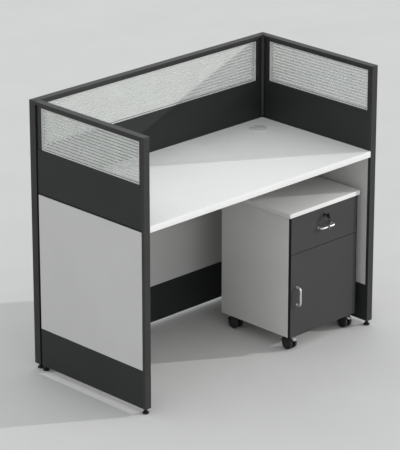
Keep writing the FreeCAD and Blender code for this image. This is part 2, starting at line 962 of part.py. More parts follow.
screws = []
for side_name, side in (("left", -1), ("right", 1)):
    for number, spot in enumerate(screw_places, start=1):
        screws.append(
            screw(
                f"{side_name}_level_screw_{number}",
                bracket_line_x * side,
                front_y + spot,
                desktop_bottom - s.bracket_gauge,
                (0, 0, 1),
                0,
            )
        )
        screws.append(
            screw(
                f"{side_name}_upright_screw_{number}",
                (inner_x - s.bracket_gauge) * side,
                front_y + spot + s.screw_stagger,
                screw_line_z,
                (0, 1, 0),
                90 * side,
            )
        )
brackets = [desk_bracket("left_desk_bracket", -1), desk_bracket("right_desk_bracket", 1)]
group("desk_brackets", brackets)
group("bracket_screws", screws)

# Cable grommet: a flanged sleeve and a cap that lifts out

sleeve_radius = s.grommet_hole_radius - s.grommet_play
bore_radius = sleeve_radius - s.grommet_wall
recess_floor = s.grommet_flange_thickness - s.grommet_recess
sleeve = new_body("grommet_sleeve")
turn(
    sleeve,
    "z",
    [
        (-s.grommet_length, bore_radius),
        (-s.grommet_length, sleeve_radius),
        (0, sleeve_radius),
        (0, s.grommet_flange_radius),
        (recess_floor, s.grommet_flange_radius),
        (s.grommet_flange_thickness, s.grommet_flange_radius - s.grommet_recess),
        (s.grommet_flange_thickness, s.grommet_recess_radius),
        (recess_floor, s.grommet_recess_radius),
        (recess_floor, bore_radius),
    ],
)
keep(place(sleeve, grommet_x, grommet_y, s.desk_height))

cap_radius = s.grommet_recess_radius - s.grommet_play
rim_radius = bore_radius - s.grommet_play
cap = new_body("grommet_cap")
turn(
    cap,
    "z",
    [
        (recess_floor, 0),
        (recess_floor, rim_radius - s.cap_rim_wall),
        (recess_floor - s.cap_rim_height, rim_radius - s.cap_rim_wall),
        (recess_floor - s.cap_rim_height, rim_radius),
        (recess_floor, rim_radius),
        (recess_floor, cap_radius),
        (s.grommet_flange_thickness, cap_radius),
        (s.grommet_flange_thickness, 0),
    ],
)
half_notch = s.cap_notch_width / 2
cut(
    cap,
    "z",
    recess_floor - s.cap_rim_height,
    s.grommet_flange_thickness,
    [
        [
            (-half_notch, cap_radius + s.overrun),
            (-half_notch, cap_radius - s.cap_notch_depth, half_notch / 2),
            (half_notch, cap_radius - s.cap_notch_depth, half_notch / 2),
            (half_notch, cap_radius + s.overrun),
        ]
    ],
)
keep(place(cap, grommet_x, grommet_y, s.desk_height))

# Pedestal carcass

top_front = front_y + s.pedestal_setback
face_y = top_front + s.top_end_overhang
front_back_y = face_y + s.front_thickness
carcass_front = front_back_y + s.front_gap
carcass_back = face_y + s.pedestal_depth
carcass_right = inner_x - s.pedestal_side_gap
carcass_left = carcass_right - s.pedestal_width
centre_x = (carcass_left + carcass_right) / 2
bay_left = carcass_left + s.board_thickness
bay_right = carcass_right - s.board_thickness
carcass_top = s.pedestal_height - s.pedestal_top_thickness
pedestal_bottom = s.wheel_radius * 2 + s.hood_clearance + s.hood_skin + s.hood_top_gap
front_split = carcass_top - s.drawer_band
back_front = carcass_back - s.back_thickness
floor_top = pedestal_bottom + s.board_thickness


def board(label, *limits):
    """A flat board with all its edges a little broken."""
    body = box(label, *limits)
    rim = [f"Edge{number}" for number in range(1, len(body.Shape.Edges) + 1)]
    soften(body, s.edge_break, rim)
    return keep(body)


board(
    "pedestal_top",
    carcass_left - s.top_side_overhang,
    carcass_right + s.top_side_overhang,
    top_front,
    carcass_back + s.top_end_overhang,
    carcass_top,
    s.pedestal_height,
)
upright = (pedestal_bottom, carcass_top)
full_depth = (carcass_front, carcass_back)
keep(box("pedestal_left_side", carcass_left, bay_left, *full_depth, *upright))
keep(box("pedestal_right_side", bay_right, carcass_right, *full_depth, *upright))
keep(box("pedestal_back", bay_left, bay_right, back_front, carcass_back, *upright))
bay = (bay_left, bay_right, carcass_front, back_front)
divider_low = front_split - s.board_thickness / 2
keep(box("pedestal_floor", *bay, pedestal_bottom, floor_top))
keep(box("pedestal_divider", *bay, divider_low, divider_low + s.board_thickness))

# Drawer: front, folded steel tray, three-member runners

drawer_front_top = carcass_top - s.front_top_gap
lock_height = drawer_front_top - s.lock_below_top
drawer_handle_height = lock_height - s.drawer_handle_below_lock
front_left = carcass_left + s.front_side_margin
front_right = carcass_right - s.front_side_margin
drawer_front = box(
    "drawer_front",
    front_left,
    front_right,
    face_y,
    front_back_y,
    front_split + s.front_reveal / 2,
    drawer_front_top,
)
soften(
    drawer_front,
    s.edge_break,
    straight_edges(
        drawer_front.Shape,
        "x",
        [(face_y, front_split + s.front_reveal / 2), (face_y, drawer_front_top)],
    )
    + straight_edges(drawer_front.Shape, "z", [(front_left, face_y), (front_right, face_y)]),
)
cut(
    drawer_front,
    "y",
    face_y,
    front_back_y,
    circles=[(centre_x, lock_height, s.lock_body_radius + s.lock_body_play)],
)
keep(drawer_front)

tray_left = bay_left + s.runner_thickness
tray_right = bay_right - s.runner_thickness
tray_bottom = divider_low + s.board_thickness + s.tray_clearance
tray_top = tray_bottom + s.tray_height
tray_back = front_back_y + s.tray_length
tray = box("drawer_box", tray_left, tray_right, front_back_y, tray_back, tray_bottom, tray_top)
cut(
    tray,
    "z",
    tray_bottom + s.tray_gauge,
    tray_top,
    [
        rectangle(
            tray_left + s.tray_gauge,
            front_back_y + s.tray_gauge,
            tray_right - s.tray_gauge,
            tray_back - s.tray_gauge,
        )
    ],
)
keep(tray)


def runner_member(label, side, start, depth, height, web_first):
    """One channel of a runner; start is its distance from the carcass side, towards the tray."""
    wall = bay_left if side < 0 else bay_right
    middle = tray_bottom + s.runner_middle_above_tray
    gauge = s.runner_gauge
    end = start + depth
    web, lip = (start, end) if web_first else (end, start)
    inside = start + gauge if web_first else end - gauge
    profile = [
        (web, middle - height / 2),
        (lip, middle - height / 2),
        (lip, middle - height / 2 + gauge),
        (inside, middle - height / 2 + gauge),
        (inside, middle + height / 2 - gauge),
        (lip, middle + height / 2 - gauge),
        (lip, middle + height / 2),
        (web, middle + height / 2),
    ]
    points = [(wall - u * side, v) for u, v in profile]
    body = new_body(label)
    low = carcass_front + s.runner_setback
    extrude(body, "y", low, low + s.runner_length, [points])
    return body


def runner_pair(label, *member):
    left = runner_member(f"{label}_left", -1, *member)
    right = runner_member(f"{label}_right", 1, *member)
    group(label, [left, right])


nest = s.runner_gauge + s.runner_play
middle_height = s.runner_height - nest * 2
inner_height = middle_height - nest * 2
middle_depth = s.runner_channel_depth - s.runner_gauge
inner_depth = s.runner_thickness - nest * 2
runner_pair("runner_cabinet_members", length(0), s.runner_channel_depth, s.runner_height, True)
runner_pair("runner_middle_members", nest, middle_depth, middle_height, True)
runner_pair("runner_drawer_members", nest * 2, inner_depth, inner_height, False)

# Cupboard door and its two hinges

door_low = pedestal_bottom + s.front_reveal / 2
door_high = front_split - s.front_reveal / 2
hinge_heights = [door_low + s.hinge_from_end, door_high - s.hinge_from_end]
cup_x = front_right - s.hinge_cup_from_edge
door = box("cupboard_door", front_left, front_right, face_y, front_back_y, door_low, door_high)
soften(
    door,
    s.edge_break,
    straight_edges(door.Shape, "x", [(face_y, door_low), (face_y, door_high)])
    + straight_edges(door.Shape, "z", [(front_left, face_y), (front_right, face_y)]),
)
cut(
    door,
    "y",
    front_back_y - s.hinge_cup_depth,
    front_back_y,
    circles=[(cup_x, height, s.hinge_cup_radius + s.hinge_cup_play) for height in hinge_heights],
)
keep(door)


def hinge_cup(label, height):
    """A pressed cup sunk in the back of the door, with a thin flange on the door's back."""
    wall = s.hinge_cup_wall
    radius = s.hinge_cup_radius
    body = new_body(label)
    turn(
        body,
        "y",
        [
            (-s.hinge_cup_depth, 0),
            (-s.hinge_cup_depth, radius),
            (0, radius),
            (0, radius + s.hinge_cup_flange),
            (s.hinge_flange_thickness, radius + s.hinge_cup_flange),
            (s.hinge_flange_thickness, radius - wall),
            (wall - s.hinge_cup_depth, radius - wall),
            (wall - s.hinge_cup_depth, 0),
        ],
    )
    return place(body, cup_x, front_back_y, height)


def hinge_plate(label, height):
    """A mounting plate on the carcass side with the arm that reaches to the cup."""
    half_plate = s.hinge_plate_height / 2
    half_arm = s.hinge_arm_height / 2
    plate_x = bay_right - s.hinge_plate_thickness
    plate_front = carcass_front + s.hinge_plate_setback
    body = new_body(label)
    plate_back = plate_front + s.hinge_plate_depth
    plate = rectangle(plate_x, plate_front, bay_right, plate_back)
    extrude(body, "z", height - half_plate, height + half_plate, [plate])
    arm_front = front_back_y + s.hinge_arm_gap + s.hinge_flange_thickness
    arm_back = plate_back - s.hinge_arm_short_of_plate
    arm = rectangle(plate_x - s.hinge_arm_width, arm_front, plate_x, arm_back)
    extrude(body, "z", height - half_arm, height + half_arm, [arm])
    return body


group("hinge_cups", [hinge_cup(f"hinge_cup_{n}", height) for n, height in enumerate(hinge_heights)])
group("hinge_plates", [hinge_plate(f"hinge_plate_{n}", height) for n, height in enumerate(hinge_heights)])

# Bow handles: a bent rod on two round feet, drawn level with its feet on the X axis


def bow_handle(label):
    half = s.handle_spacing / 2
    body = new_body(label)
    path = new_sketch(body, "z")
    points = [
        (-half, 0),
        (-half, -s.handle_reach, s.handle_bend),
        (half, -s.handle_reach, s.handle_bend),
        (half, 0),
    ]
    start, left, right, end = points
    add_line(path, start, towards(left, start, s.handle_bend))
    add_corner_arc(path, start, left, right, s.handle_bend)
    add_line(path, towards(left, right, s.handle_bend), towards(right, left, s.handle_bend))
    add_corner_arc(path, left, right, end, s.handle_bend)
    add_line(path, towards(right, end, s.handle_bend), end)
    section = new_sketch(body, "y")
    add_circle(section, -half, 0, s.handle_rod_radius)
    document.recompute()
    rod = body.newObject("PartDesign::AdditivePipe", f"{label}_rod")
    rod.Profile = section
    rod.Spine = (path, [f"Edge{number}" for number in range(1, 6)])
    document.recompute()
    feet = [(-half, 0, s.handle_foot_radius), (half, 0, s.handle_foot_radius)]
    extrude(body, "y", -s.handle_foot_height, 0, circles=feet)
    return keep(body)


place(bow_handle("drawer_handle"), centre_x, face_y, drawer_handle_height)
place(
    bow_handle("door_handle"),
    front_left + s.door_handle_inset,
    face_y,
    door_low + s.door_handle_above_bottom,
    (0, 1, 0),
    90,
)

# Lock: a barrel in the drawer front, a turning plug with its cam, a key and a ring with a spare key

barrel = new_body("lock_barrel")
barrel_end = s.front_thickness + s.lock_body_behind
plug_bore = s.plug_radius + s.plug_play
turn(
    barrel,
    "y",
    [
        (-s.lock_flange_thickness, plug_bore),
        (-s.lock_flange_thickness, s.lock_flange_radius - s.edge_break),
        (s.edge_break - s.lock_flange_thickness, s.lock_flange_radius),
        (0, s.lock_flange_radius),
        (0, s.lock_body_radius),
        (barrel_end, s.lock_body_radius),
        (barrel_end, plug_bore),
    ],
)
keep(place(barrel, centre_x, face_y, lock_height))

plug_front = -s.lock_flange_thickness - s.plug_proud
cam_end = barrel_end + s.cam_thickness
plug = new_body("lock_plug")
turn(plug, "y", [(plug_front, 0), (plug_front, s.plug_radius), (cam_end, s.plug_radius), (cam_end, 0)])
half_cam = s.cam_width / 2
extrude(
    plug,
    "y",
    barrel_end + s.key_play,
    cam_end,
    [
        [
            (-half_cam, -half_cam, half_cam / 2),
            (s.cam_length, -half_cam, half_cam / 2),
            (s.cam_length, half_cam, half_cam / 2),
            (-half_cam, half_cam, half_cam / 2),
        ]
    ],
)
half_slot = s.key_thickness / 2 + s.key_play
slot_height = s.key_blade_height / 2 + s.key_play
cut(
    plug,
    "y",
    plug_front,
    plug_front + s.key_blade_length + s.key_play,
    [rectangle(-half_slot, -slot_height, half_slot, slot_height)],
)
keep(place(plug, centre_x, face_y, lock_height))


def key_blank(body, shoulder, blade_length):
    """A flat key across X: its blade runs to +Y from the shoulder, its round bow to -Y."""
    half = s.key_thickness / 2
    bow_y = shoulder - s.key_neck - s.key_bow_radius
    hole_y = bow_y - s.key_bow_radius + s.key_hole_inset
    half_blade = s.key_blade_height / 2
    extrude(body, "x", -half, half, circles=[(bow_y, 0, s.key_bow_radius)])
    extrude(body, "x", -half, half, [rectangle(bow_y, -half_blade, shoulder + blade_length, half_blade)])
    cut(body, "x", -half, half, circles=[(hole_y, 0, s.key_hole_radius)])
    return hole_y


key = new_body("key")
hole_y = key_blank(key, plug_front, s.key_blade_length)
keep(place(key, centre_x, face_y, lock_height))

ring_y = face_y + hole_y
ring_centre_z = lock_height - s.ring_radius
ring = document.addObject("Part::Torus", "split_ring")
bind(ring, "Radius1", s.ring_radius)
bind(ring, "Radius2", s.ring_wire_radius)
stand_up = FreeCAD.Rotation(FreeCAD.Vector(1, 0, 0), 90)
diagonal = FreeCAD.Rotation(FreeCAD.Vector(0, 0, 1), -s.ring_turn.value)
place(ring, centre_x, ring_y, ring_centre_z)
ring.Placement = FreeCAD.Placement(ring.Placement.Base, diagonal * stand_up)

spare = new_body("spare_key")
spare_hole = key_blank(spare, length(0), s.key_blade_length)
hang = FreeCAD.Rotation(FreeCAD.Vector(1, 0, 0), -90)
face_on = FreeCAD.Rotation(FreeCAD.Vector(0, 0, 1), 90)
place(spare, centre_x, ring_y, ring_centre_z - s.ring_radius + spare_hole)
spare.Placement = FreeCAD.Placement(spare.Placement.Base, face_on * hang)
group("key_ring", [ring, spare])

# Casters: a fixed plate and stem, a swivelling hood, a pair of wheels on their axle, a brake lever

caster_places = {
    "front_left": (carcass_left + s.caster_inset_side, carcass_front + s.caster_inset_front),
    "front_right": (carcass_right - s.caster_inset_side, carcass_front + s.caster_inset_front),
    "rear_left": (carcass_left + s.caster_inset_side, carcass_back - s.caster_inset_back),
    "rear_right": (carcass_right - s.caster_inset_side, carcass_back - s.caster_inset_back),
}
wheel_y = -s.caster_trail
stem_bottom = s.wheel_radius + s.stem_above_axle
hood_inner = s.wheel_radius + s.hood_clearance
hood_outer = hood_inner + s.hood_skin


def caster_stem(label, x, y):
    half = s.caster_plate / 2
    plate_low = pedestal_bottom - s.caster_plate_thickness
    body = new_body(label)
    extrude(body, "z", plate_low, pedestal_bottom, [rectangle(-half, -half, half, half)])
    extrude(body, "z", stem_bottom, plate_low, circles=[(0, 0, s.caster_stem_radius)])
    return place(body, x, y)


def around_wheel(radius, angle):
    """A place in the upright plane of the wheel, at an angle above the horizontal behind the axle."""
    return (wheel_y + radius * cosine(angle), s.wheel_radius + radius * sine(angle))


def caster_hood(label, x, y, has_brake):
    """The hood: a web between the wheels with the stem's socket, and a cover over both wheels."""
    half_web = s.hood_web / 2
    half_hood = s.hood_width / 2
    body = new_body(label)
    cover = new_sketch(body, "x", -half_hood)
    add_circle(cover, wheel_y, s.wheel_radius, hood_outer)
    add_circle(cover, wheel_y, s.wheel_radius, hood_inner)
    shell = body.newObject("PartDesign::Pad", f"{label}_cover")
    shell.Profile = cover
    bind(shell, "Length", s.hood_width)
    document.recompute()
    reach = hood_outer + s.overrun
    open_front = around_wheel(reach * 2, s.hood_front_angle)
    open_back = around_wheel(reach * 2, s.hood_back_angle)
    below = s.wheel_radius - reach
    cut(
        body,
        "x",
        -half_hood,
        half_hood,
        [
            [
                (wheel_y, s.wheel_radius),
                open_back,
                (open_back[0], below),
                (open_front[0], below),
                open_front,
            ]
        ],
    )
    boss = s.hood_boss_radius
    web_top = s.wheel_radius + hood_inner + s.hood_skin / 2
    web = [
        (wheel_y - boss, s.wheel_radius - boss),
        (wheel_y + boss, s.wheel_radius - boss),
        (boss, stem_bottom - s.hood_skin * 2),
        (boss, stem_bottom + boss),
        (wheel_y + boss / 2, web_top),
        (wheel_y - boss / 2, web_top),
        (wheel_y - boss, s.wheel_radius + boss * 2),
    ]
    extrude(body, "x", -half_web, half_web, [web])
    socket_top = pedestal_bottom - s.caster_plate_thickness - s.hood_clearance
    socket = s.hood_web / 2
    extrude(body, "z", stem_bottom, socket_top, circles=[(0, 0, socket)])
    bore = s.caster_stem_radius + s.caster_stem_play
    cut(body, "z", stem_bottom - s.caster_stem_play, socket_top, circles=[(0, 0, bore)])
    axle_hole = (wheel_y, s.wheel_radius, s.axle_radius + s.axle_play)
    cut(body, "x", -half_web, half_web, circles=[axle_hole])
    if has_brake:
        add_brake_ears(body)
    return keep(place(body, x, y))


brake_pin_reach = hood_outer + s.brake_stand_off
brake_pin_place = around_wheel(brake_pin_reach, s.brake_angle)
ear_start = s.brake_lever_width / 2 + s.brake_ear_play


def add_brake_ears(body):
    """Two ears on the cover that hold the brake lever's pin."""
    pin_y, pin_z = brake_pin_place
    root = hood_inner + s.hood_skin / 2
    ear = [
        around_wheel(root, s.brake_angle - s.brake_ear_spread),
        around_wheel(brake_pin_reach, s.brake_angle - s.brake_ear_spread / 2),
        around_wheel(brake_pin_reach, s.brake_angle + s.brake_ear_spread / 2),
        around_wheel(root, s.brake_angle + s.brake_ear_spread),
    ]
    for side in (-1, 1):
        low = ear_start if side > 0 else -(ear_start + s.brake_ear_thickness)
        high = low + s.brake_ear_thickness
        extrude(body, "x", low, high, [ear])
        extrude(body, "x", low, high, circles=[(pin_y, pin_z, s.brake_ear_radius)])
        cut(body, "x", low, high, circles=[(pin_y, pin_z, s.brake_pin_radius + s.brake_pin_play)])


def brake_lever(label, x, y):
    """A pressed lever with its pin and shoe, drawn level about its pin, then tipped forward."""
    half = s.brake_lever_width / 2
    half_plate = s.brake_lever_thickness / 2
    pin_end = ear_start + s.brake_ear_thickness
    shoe_y = -s.brake_shoe_place
    half_shoe = s.brake_shoe_length / 2
    body = new_body(label)
    extrude(body, "x", -half, half, circles=[(0, 0, s.brake_knuckle_radius)])
    extrude(body, "x", -pin_end, pin_end, circles=[(0, 0, s.brake_pin_radius)])
    extrude(body, "x", -half, half, [rectangle(-s.brake_lever_length, -half_plate, 0, half_plate)])
    shoe = rectangle(shoe_y - half_shoe, -half_plate - s.brake_shoe_height, shoe_y + half_shoe, 0)
    extrude(body, "x", -half, half, [shoe])
    pin_y, pin_z = brake_pin_place
    return keep(place(body, x, y + pin_y, pin_z, (1, 0, 0), s.brake_lever_slope.value))


def wheelset(label, x, y):
    """Two wheels on one axle, turned about X."""
    inner = s.wheel_gap / 2
    outer = inner + s.wheel_width
    radius = s.wheel_radius
    half_outline = [
        (outer - s.hub_recess, length(0)),
        (outer - s.hub_recess, s.hub_radius),
        (outer - s.rim_recess, s.hub_radius + s.hub_slope),
        (outer - s.rim_recess, radius - s.tyre_wall),
        (outer, radius - s.tyre_shoulder),
        (outer, radius - s.tyre_round),
        (outer - s.tyre_crown, radius - s.tyre_crown),
        (outer - s.tyre_round, radius),
        (inner + s.tyre_inner_round, radius),
        (inner, radius - s.tyre_inner_round),
        (inner, s.axle_radius),
    ]
    body = new_body(label)
    turn(body, "x", half_outline + [(-u, v) for u, v in reversed(half_outline)])
    return keep(place(body, x, y + wheel_y, s.wheel_radius))


stems = [caster_stem(f"{name}_caster_stem", *spot) for name, spot in caster_places.items()]
group("caster_stems", stems)
for name, spot in caster_places.items():
    caster_hood(f"{name}_caster_hood", *spot, has_brake=name.startswith("front"))
    wheelset(f"{name}_wheels", *spot)
    if name.startswith("front"):
        brake_lever(f"{name}_brake_lever", *spot)

# Checks, then one file for each node

document.recompute()
for item in document.Objects:
    if "Invalid" in item.State or "Error" in item.State:
        raise RuntimeError(f"{item.Label}: {item.State}")
if len(nodes) > 60:
    raise RuntimeError(f"{len(nodes)} nodes")
for node in nodes:
    if node.Shape.isNull() or not node.Shape.isValid():
        raise RuntimeError(f"{node.Label}: no valid shape")
for node in nodes:
    node.Shape.exportStep(f"parts/{node.Label}.step")
    print(f"{node.Label}: {len(node.Shape.Solids)} solids, {node.Shape.Volume / 1000:.1f} cm3")
print(len(nodes), "nodes")
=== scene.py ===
import math

import bmesh
import bpy
from mathutils import Matrix, Vector


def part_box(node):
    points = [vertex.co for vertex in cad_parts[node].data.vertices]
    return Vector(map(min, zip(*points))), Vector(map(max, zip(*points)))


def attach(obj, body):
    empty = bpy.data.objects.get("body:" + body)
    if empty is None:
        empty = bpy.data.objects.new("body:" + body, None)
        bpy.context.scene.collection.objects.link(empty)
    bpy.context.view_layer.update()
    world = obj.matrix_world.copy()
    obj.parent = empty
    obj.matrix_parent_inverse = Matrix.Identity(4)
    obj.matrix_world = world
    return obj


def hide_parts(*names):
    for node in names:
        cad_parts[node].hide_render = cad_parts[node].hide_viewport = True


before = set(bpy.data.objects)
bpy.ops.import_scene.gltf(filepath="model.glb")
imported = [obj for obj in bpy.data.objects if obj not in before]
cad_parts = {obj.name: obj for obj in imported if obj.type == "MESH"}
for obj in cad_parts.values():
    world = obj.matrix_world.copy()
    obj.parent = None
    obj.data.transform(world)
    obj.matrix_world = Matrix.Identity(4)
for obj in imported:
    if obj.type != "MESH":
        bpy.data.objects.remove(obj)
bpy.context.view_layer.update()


# Screen frames: aluminium extrusions, sawn to length and cleated together. They are powder-coated in
# charcoal, which gives a satin skin with the fine orange peel that melted powder sets with.

# Sizes are written in millimetres, and the scene is in metres.
MM = 0.001
FRAME_COLOURS = ("#2a2a29", "#2f2f2e")
ORANGE_PEEL = 1.6
CLOUD_DETAIL = 4
GRAIN_DETAIL = 2
BUMP_STRENGTH = 0.5
# Nearly every value of a noise lies between these two.
NOISE_LOW = 0.3
NOISE_HIGH = 0.7
# Sockets of a Mix node for colours go by number, because its other kinds use the same names.
MIX_AMOUNT = 0
MIX_FIRST = 6
MIX_SECOND = 7
MIX_RESULT = 2


def shade(code):
    """An sRGB colour code as linear values."""
    parts = [int(code[place:place + 2], 16) / 255 for place in (1, 3, 5)]
    linear = [part / 12.92 if part <= 0.04045 else ((part + 0.055) / 1.055) ** 2.4 for part in parts]
    return linear + [1]


def add_node(material, kind, sockets, **settings):
    """Adds a shader node; sockets maps its inputs to values or to other nodes' outputs."""
    node = material.node_tree.nodes.new(kind)
    for name, value in settings.items():
        setattr(node, name, value)
    for name, value in sockets.items():
        if isinstance(value, bpy.types.NodeSocket):
            material.node_tree.links.new(value, node.inputs[name])
        else:
            node.inputs[name].default_value = value
    return node


def surface(name, **sockets):
    """A new material and its shader, with plain values set on the shader's own sockets."""
    material = bpy.data.materials.new(name)
    material.use_nodes = True
    shader = material.node_tree.nodes["Principled BSDF"]
    for socket, value in sockets.items():
        shader.inputs[socket.replace("_", " ")].default_value = value
    return material, shader


def per(size):
    """The scale of a pattern whose cells are this many millimetres across."""
    return 1 / (size * MM)


def grained(name, colours, roughness, grain, relief, cloud=90, uneven=0.05, **sockets):
    """A finish that clouds softly between two colours, with a grain in relief and an uneven gloss.

    The grain's cells, its relief and the clouds are in millimetres. A grain that is really finer than
    half a millimetre is drawn at 0.6 mm or more, so that it shows.
    """
    material, shader = surface(name, **sockets)
    spot = add_node(material, "ShaderNodeTexCoord", {}).outputs["Object"]
    clouds = add_node(
        material, "ShaderNodeTexNoise", {"Vector": spot, "Scale": per(cloud), "Detail": CLOUD_DETAIL}
    )
    grains = add_node(
        material, "ShaderNodeTexNoise", {"Vector": spot, "Scale": per(grain), "Detail": GRAIN_DETAIL}
    )
    blend = add_node(
        material,
        "ShaderNodeMapRange",
        {"Value": clouds.outputs["Fac"], "From Min": NOISE_LOW, "From Max": NOISE_HIGH},
    )
    paint = add_node(
        material,
        "ShaderNodeMix",
        {MIX_AMOUNT: blend.outputs[0], MIX_FIRST: shade(colours[0]), MIX_SECOND: shade(colours[1])},
        data_type="RGBA",
    )
    gloss = add_node(
        material,
        "ShaderNodeMapRange",
        {
            "Value": grains.outputs["Fac"],
            "From Min": NOISE_LOW,
            "From Max": NOISE_HIGH,
            "To Min": roughness - uneven,
            "To Max": roughness + uneven,
        },
    )
    bump = add_node(
        material,
        "ShaderNodeBump",
        {"Height": grains.outputs["Fac"], "Strength": BUMP_STRENGTH, "Distance": relief * MM},
    )
    link = material.node_tree.links.new
    link(paint.outputs[MIX_RESULT], shader.inputs["Base Color"])
    link(gloss.outputs[0], shader.inputs["Roughness"])
    link(bump.outputs[0], shader.inputs["Normal"])
    return material


def dress(material, *names):
    """Gives CAD nodes their finish."""
    for name in names:
        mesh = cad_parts[name].data
        mesh.materials.clear()
        mesh.materials.append(material)


# Powder-coated aluminium: sprayed dry and baked, so dull in colour with soft, slightly broken lights.
powder_coat = grained(
    "powder_coated_aluminium",
    FRAME_COLOURS,
    roughness=0.42,
    grain=ORANGE_PEEL,
    relief=0.05,
    Specular_IOR_Level=0.3,
)
dress(
    powder_coat,
    "left_stiles",
    "right_stiles",
    "back_stiles",
    "left_rails",
    "right_rails",
    "back_rails",
)


# Corner posts and moulded caps: an extrusion that ties two panels together at the back, chamfered in
# the inner corner. Caps of the same charcoal close the posts and the front ends of the side rails.

CAP_COLOURS = ("#2c2c2b", "#323231")
CAP_EDGE = 0.5
MERGE_WITHIN = 0.004
# Degrees between two faces: below the first they are one face, above the second they meet in an arris.
FLAT_WITHIN = 0.5
SHARP = 50


def merged_copy(name, whole_faces=True):
    """A CAD node's mesh with its loose triangles merged, into whole faces where edges get rounded."""
    shape = bmesh.new()
    shape.from_mesh(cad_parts[name].data)
    bmesh.ops.remove_doubles(shape, verts=shape.verts, dist=MERGE_WITHIN * MM)
    if whole_faces:
        bmesh.ops.dissolve_limit(
            shape, angle_limit=math.radians(FLAT_WITHIN), verts=shape.verts, edges=shape.edges
        )
    return shape


def round_edges(shape, edges, size, segments=2):
    """Rounds edges by a size in millimetres."""
    bmesh.ops.bevel(
        shape,
        geom=edges,
        offset=size * MM,
        offset_type="OFFSET",
        segments=segments,
        profile=0.5,
        affect="EDGES",
        material=-1,
        clamp_overlap=True,
    )


def sharp_edges(shape, sharper_than=SHARP):
    """The edges that turn by more than an angle in degrees."""
    limit = math.radians(sharper_than)
    return [edge for edge in shape.edges if edge.is_manifold and edge.calc_face_angle() > limit]


def soften(shape, size, sharper_than=SHARP):
    """Rounds every sharp edge by a size in millimetres."""
    round_edges(shape, sharp_edges(shape, sharper_than), size)


def finish_piece(shape, name, materials, body, replaces, smooth=40):
    """Turns a bmesh into a piece that rides on a CAD body, and stands for the nodes that it replaces.

    It is shaded smooth up to an angle in degrees between faces, or flat at an angle of 0.
    """
    mesh = bpy.data.meshes.new(name)
    bmesh.ops.recalc_face_normals(shape, faces=shape.faces)
    shape.to_mesh(mesh)
    shape.free()
    if smooth:
        mesh.shade_smooth()
        mesh.set_sharp_from_angle(angle=math.radians(smooth))
    for material in materials:
        mesh.materials.append(material)
    piece = bpy.data.objects.new(name, mesh)
    bpy.context.scene.collection.objects.link(piece)
    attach(piece, body)
    if replaces:
        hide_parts(*replaces)


# Moulded nylon: injected into a spark-textured mould, so a touch duller than the coated aluminium.
cap_nylon = grained(
    "moulded_nylon_cap", CAP_COLOURS, roughness=0.5, grain=0.9, relief=0.04, Specular_IOR_Level=0.35
)
for side in ("left", "right"):
    post = merged_copy(f"{side}_corner_post")
    finish_piece(
        post,
        f"{side}_post_extrusion",
        [powder_coat],
        "screens_and_desk",
        [f"{side}_corner_post"],
    )
caps = merged_copy("frame_caps")
soften(caps, CAP_EDGE)
finish_piece(caps, "moulded_caps", [cap_nylon], "screens_and_desk", ["frame_caps"])


# Clip-on tiles of the screens: board faced in laminate that snaps over the frames on both sides,
# charcoal at the foot and above the desk line, light grey between.

TILE_CHARCOAL = ("#262828", "#2a2c2c")
TILE_GREY = ("#c3c3c1", "#c7c7c5")
PEARL = 1.3

# High-pressure laminate: pressed against a pearl-textured plate, so matt with a very fine tooth.
charcoal_tile = grained(
    "pearl_laminate_charcoal",
    TILE_CHARCOAL,
    roughness=0.52,
    grain=PEARL,
    relief=0.06,
    cloud=160,
    Specular_IOR_Level=0.28,
)
grey_tile = grained(
    "pearl_laminate_grey", TILE_GREY, roughness=0.52, grain=PEARL, relief=0.06, cloud=200
)
dress(charcoal_tile, "upper_tiles", "kick_tiles")
dress(grey_tile, "left_lower_tiles", "right_lower_tiles", "back_lower_tiles")


# Rubber strips in the grooves between the upper and lower tiles, on the outer side of each screen:
# black strip pushed into the slot of the frame. Its black is painted shade of the groove, so that the
# joint reads as one dark line.

STRIP_HEIGHT = 7.8
STRIP_DEPTH = 1.2
STRIP_EDGE = 0.4
TILE_THICKNESS = 4


def corners(name):
    """The lowest and highest corners of a CAD node, in millimetres."""
    return [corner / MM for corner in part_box(name)]


def edges_of(verts):
    """The edges that meet at some vertices, each once."""
    return list(dict.fromkeys(edge for vert in verts for edge in vert.link_edges))


def add_block(shape, low, high, edge=0):
    """A block between two corners in millimetres, with all its edges rounded where a size is given."""
    verts = bmesh.ops.create_cube(shape, size=1)["verts"]
    bmesh.ops.scale(shape, vec=[(b - a) * MM for a, b in zip(low, high)], verts=verts)
    bmesh.ops.translate(shape, vec=[(a + b) / 2 * MM for a, b in zip(low, high)], verts=verts)
    if edge:
        round_edges(shape, edges_of(verts), edge)


# Extruded rubber: black right through, dull, and lit by almost nothing in its groove; its black is
# painted shade of the groove.
groove_shade_rubber = grained(
    "black_rubber_groove_shade",
    ("#0a0a0a", "#0e0e0e"),
    roughness=0.7,
    grain=0.8,
    relief=0.03,
    Specular_IOR_Level=0.3,
)
groove_low = corners("left_lower_tiles")[1][2]
groove_high = corners("upper_tiles")[0][2]
strip_low = (groove_low + groove_high - STRIP_HEIGHT) / 2
strips = bmesh.new()
for side, across, sign in (("left", 0, -1), ("right", 0, 1), ("back", 1, 1)):
    low, high = corners(f"{side}_lower_tiles")
    face = (low if sign < 0 else high)[across] - sign * TILE_THICKNESS
    low[across], high[across] = sorted((face, face + sign * STRIP_DEPTH))
    low[2], high[2] = strip_low, strip_low + STRIP_HEIGHT
    add_block(strips, low, high, STRIP_EDGE)
# The strips' black is painted shade of the grooves.
finish_piece(strips, "groove_shade_strips", [groove_shade_rubber], "screens_and_desk", [])


# Translucent sheets above the tiles: clear twin-wall sheet, held in the grooves of the frame. Over
# each flute one face carries a frosted band, and a frosted border joins the bands at both ends.

BAND_PITCH = 12.5
BAND_HEIGHT = 8.4
BAND_THICKNESS = 0.4
BAND_OFF_SHEET = 0.05
BORDER = 14
RIB = 1
SEAT = 6
# A face looks along an axis where its normal has at least this much of it.
FACING = 0.9

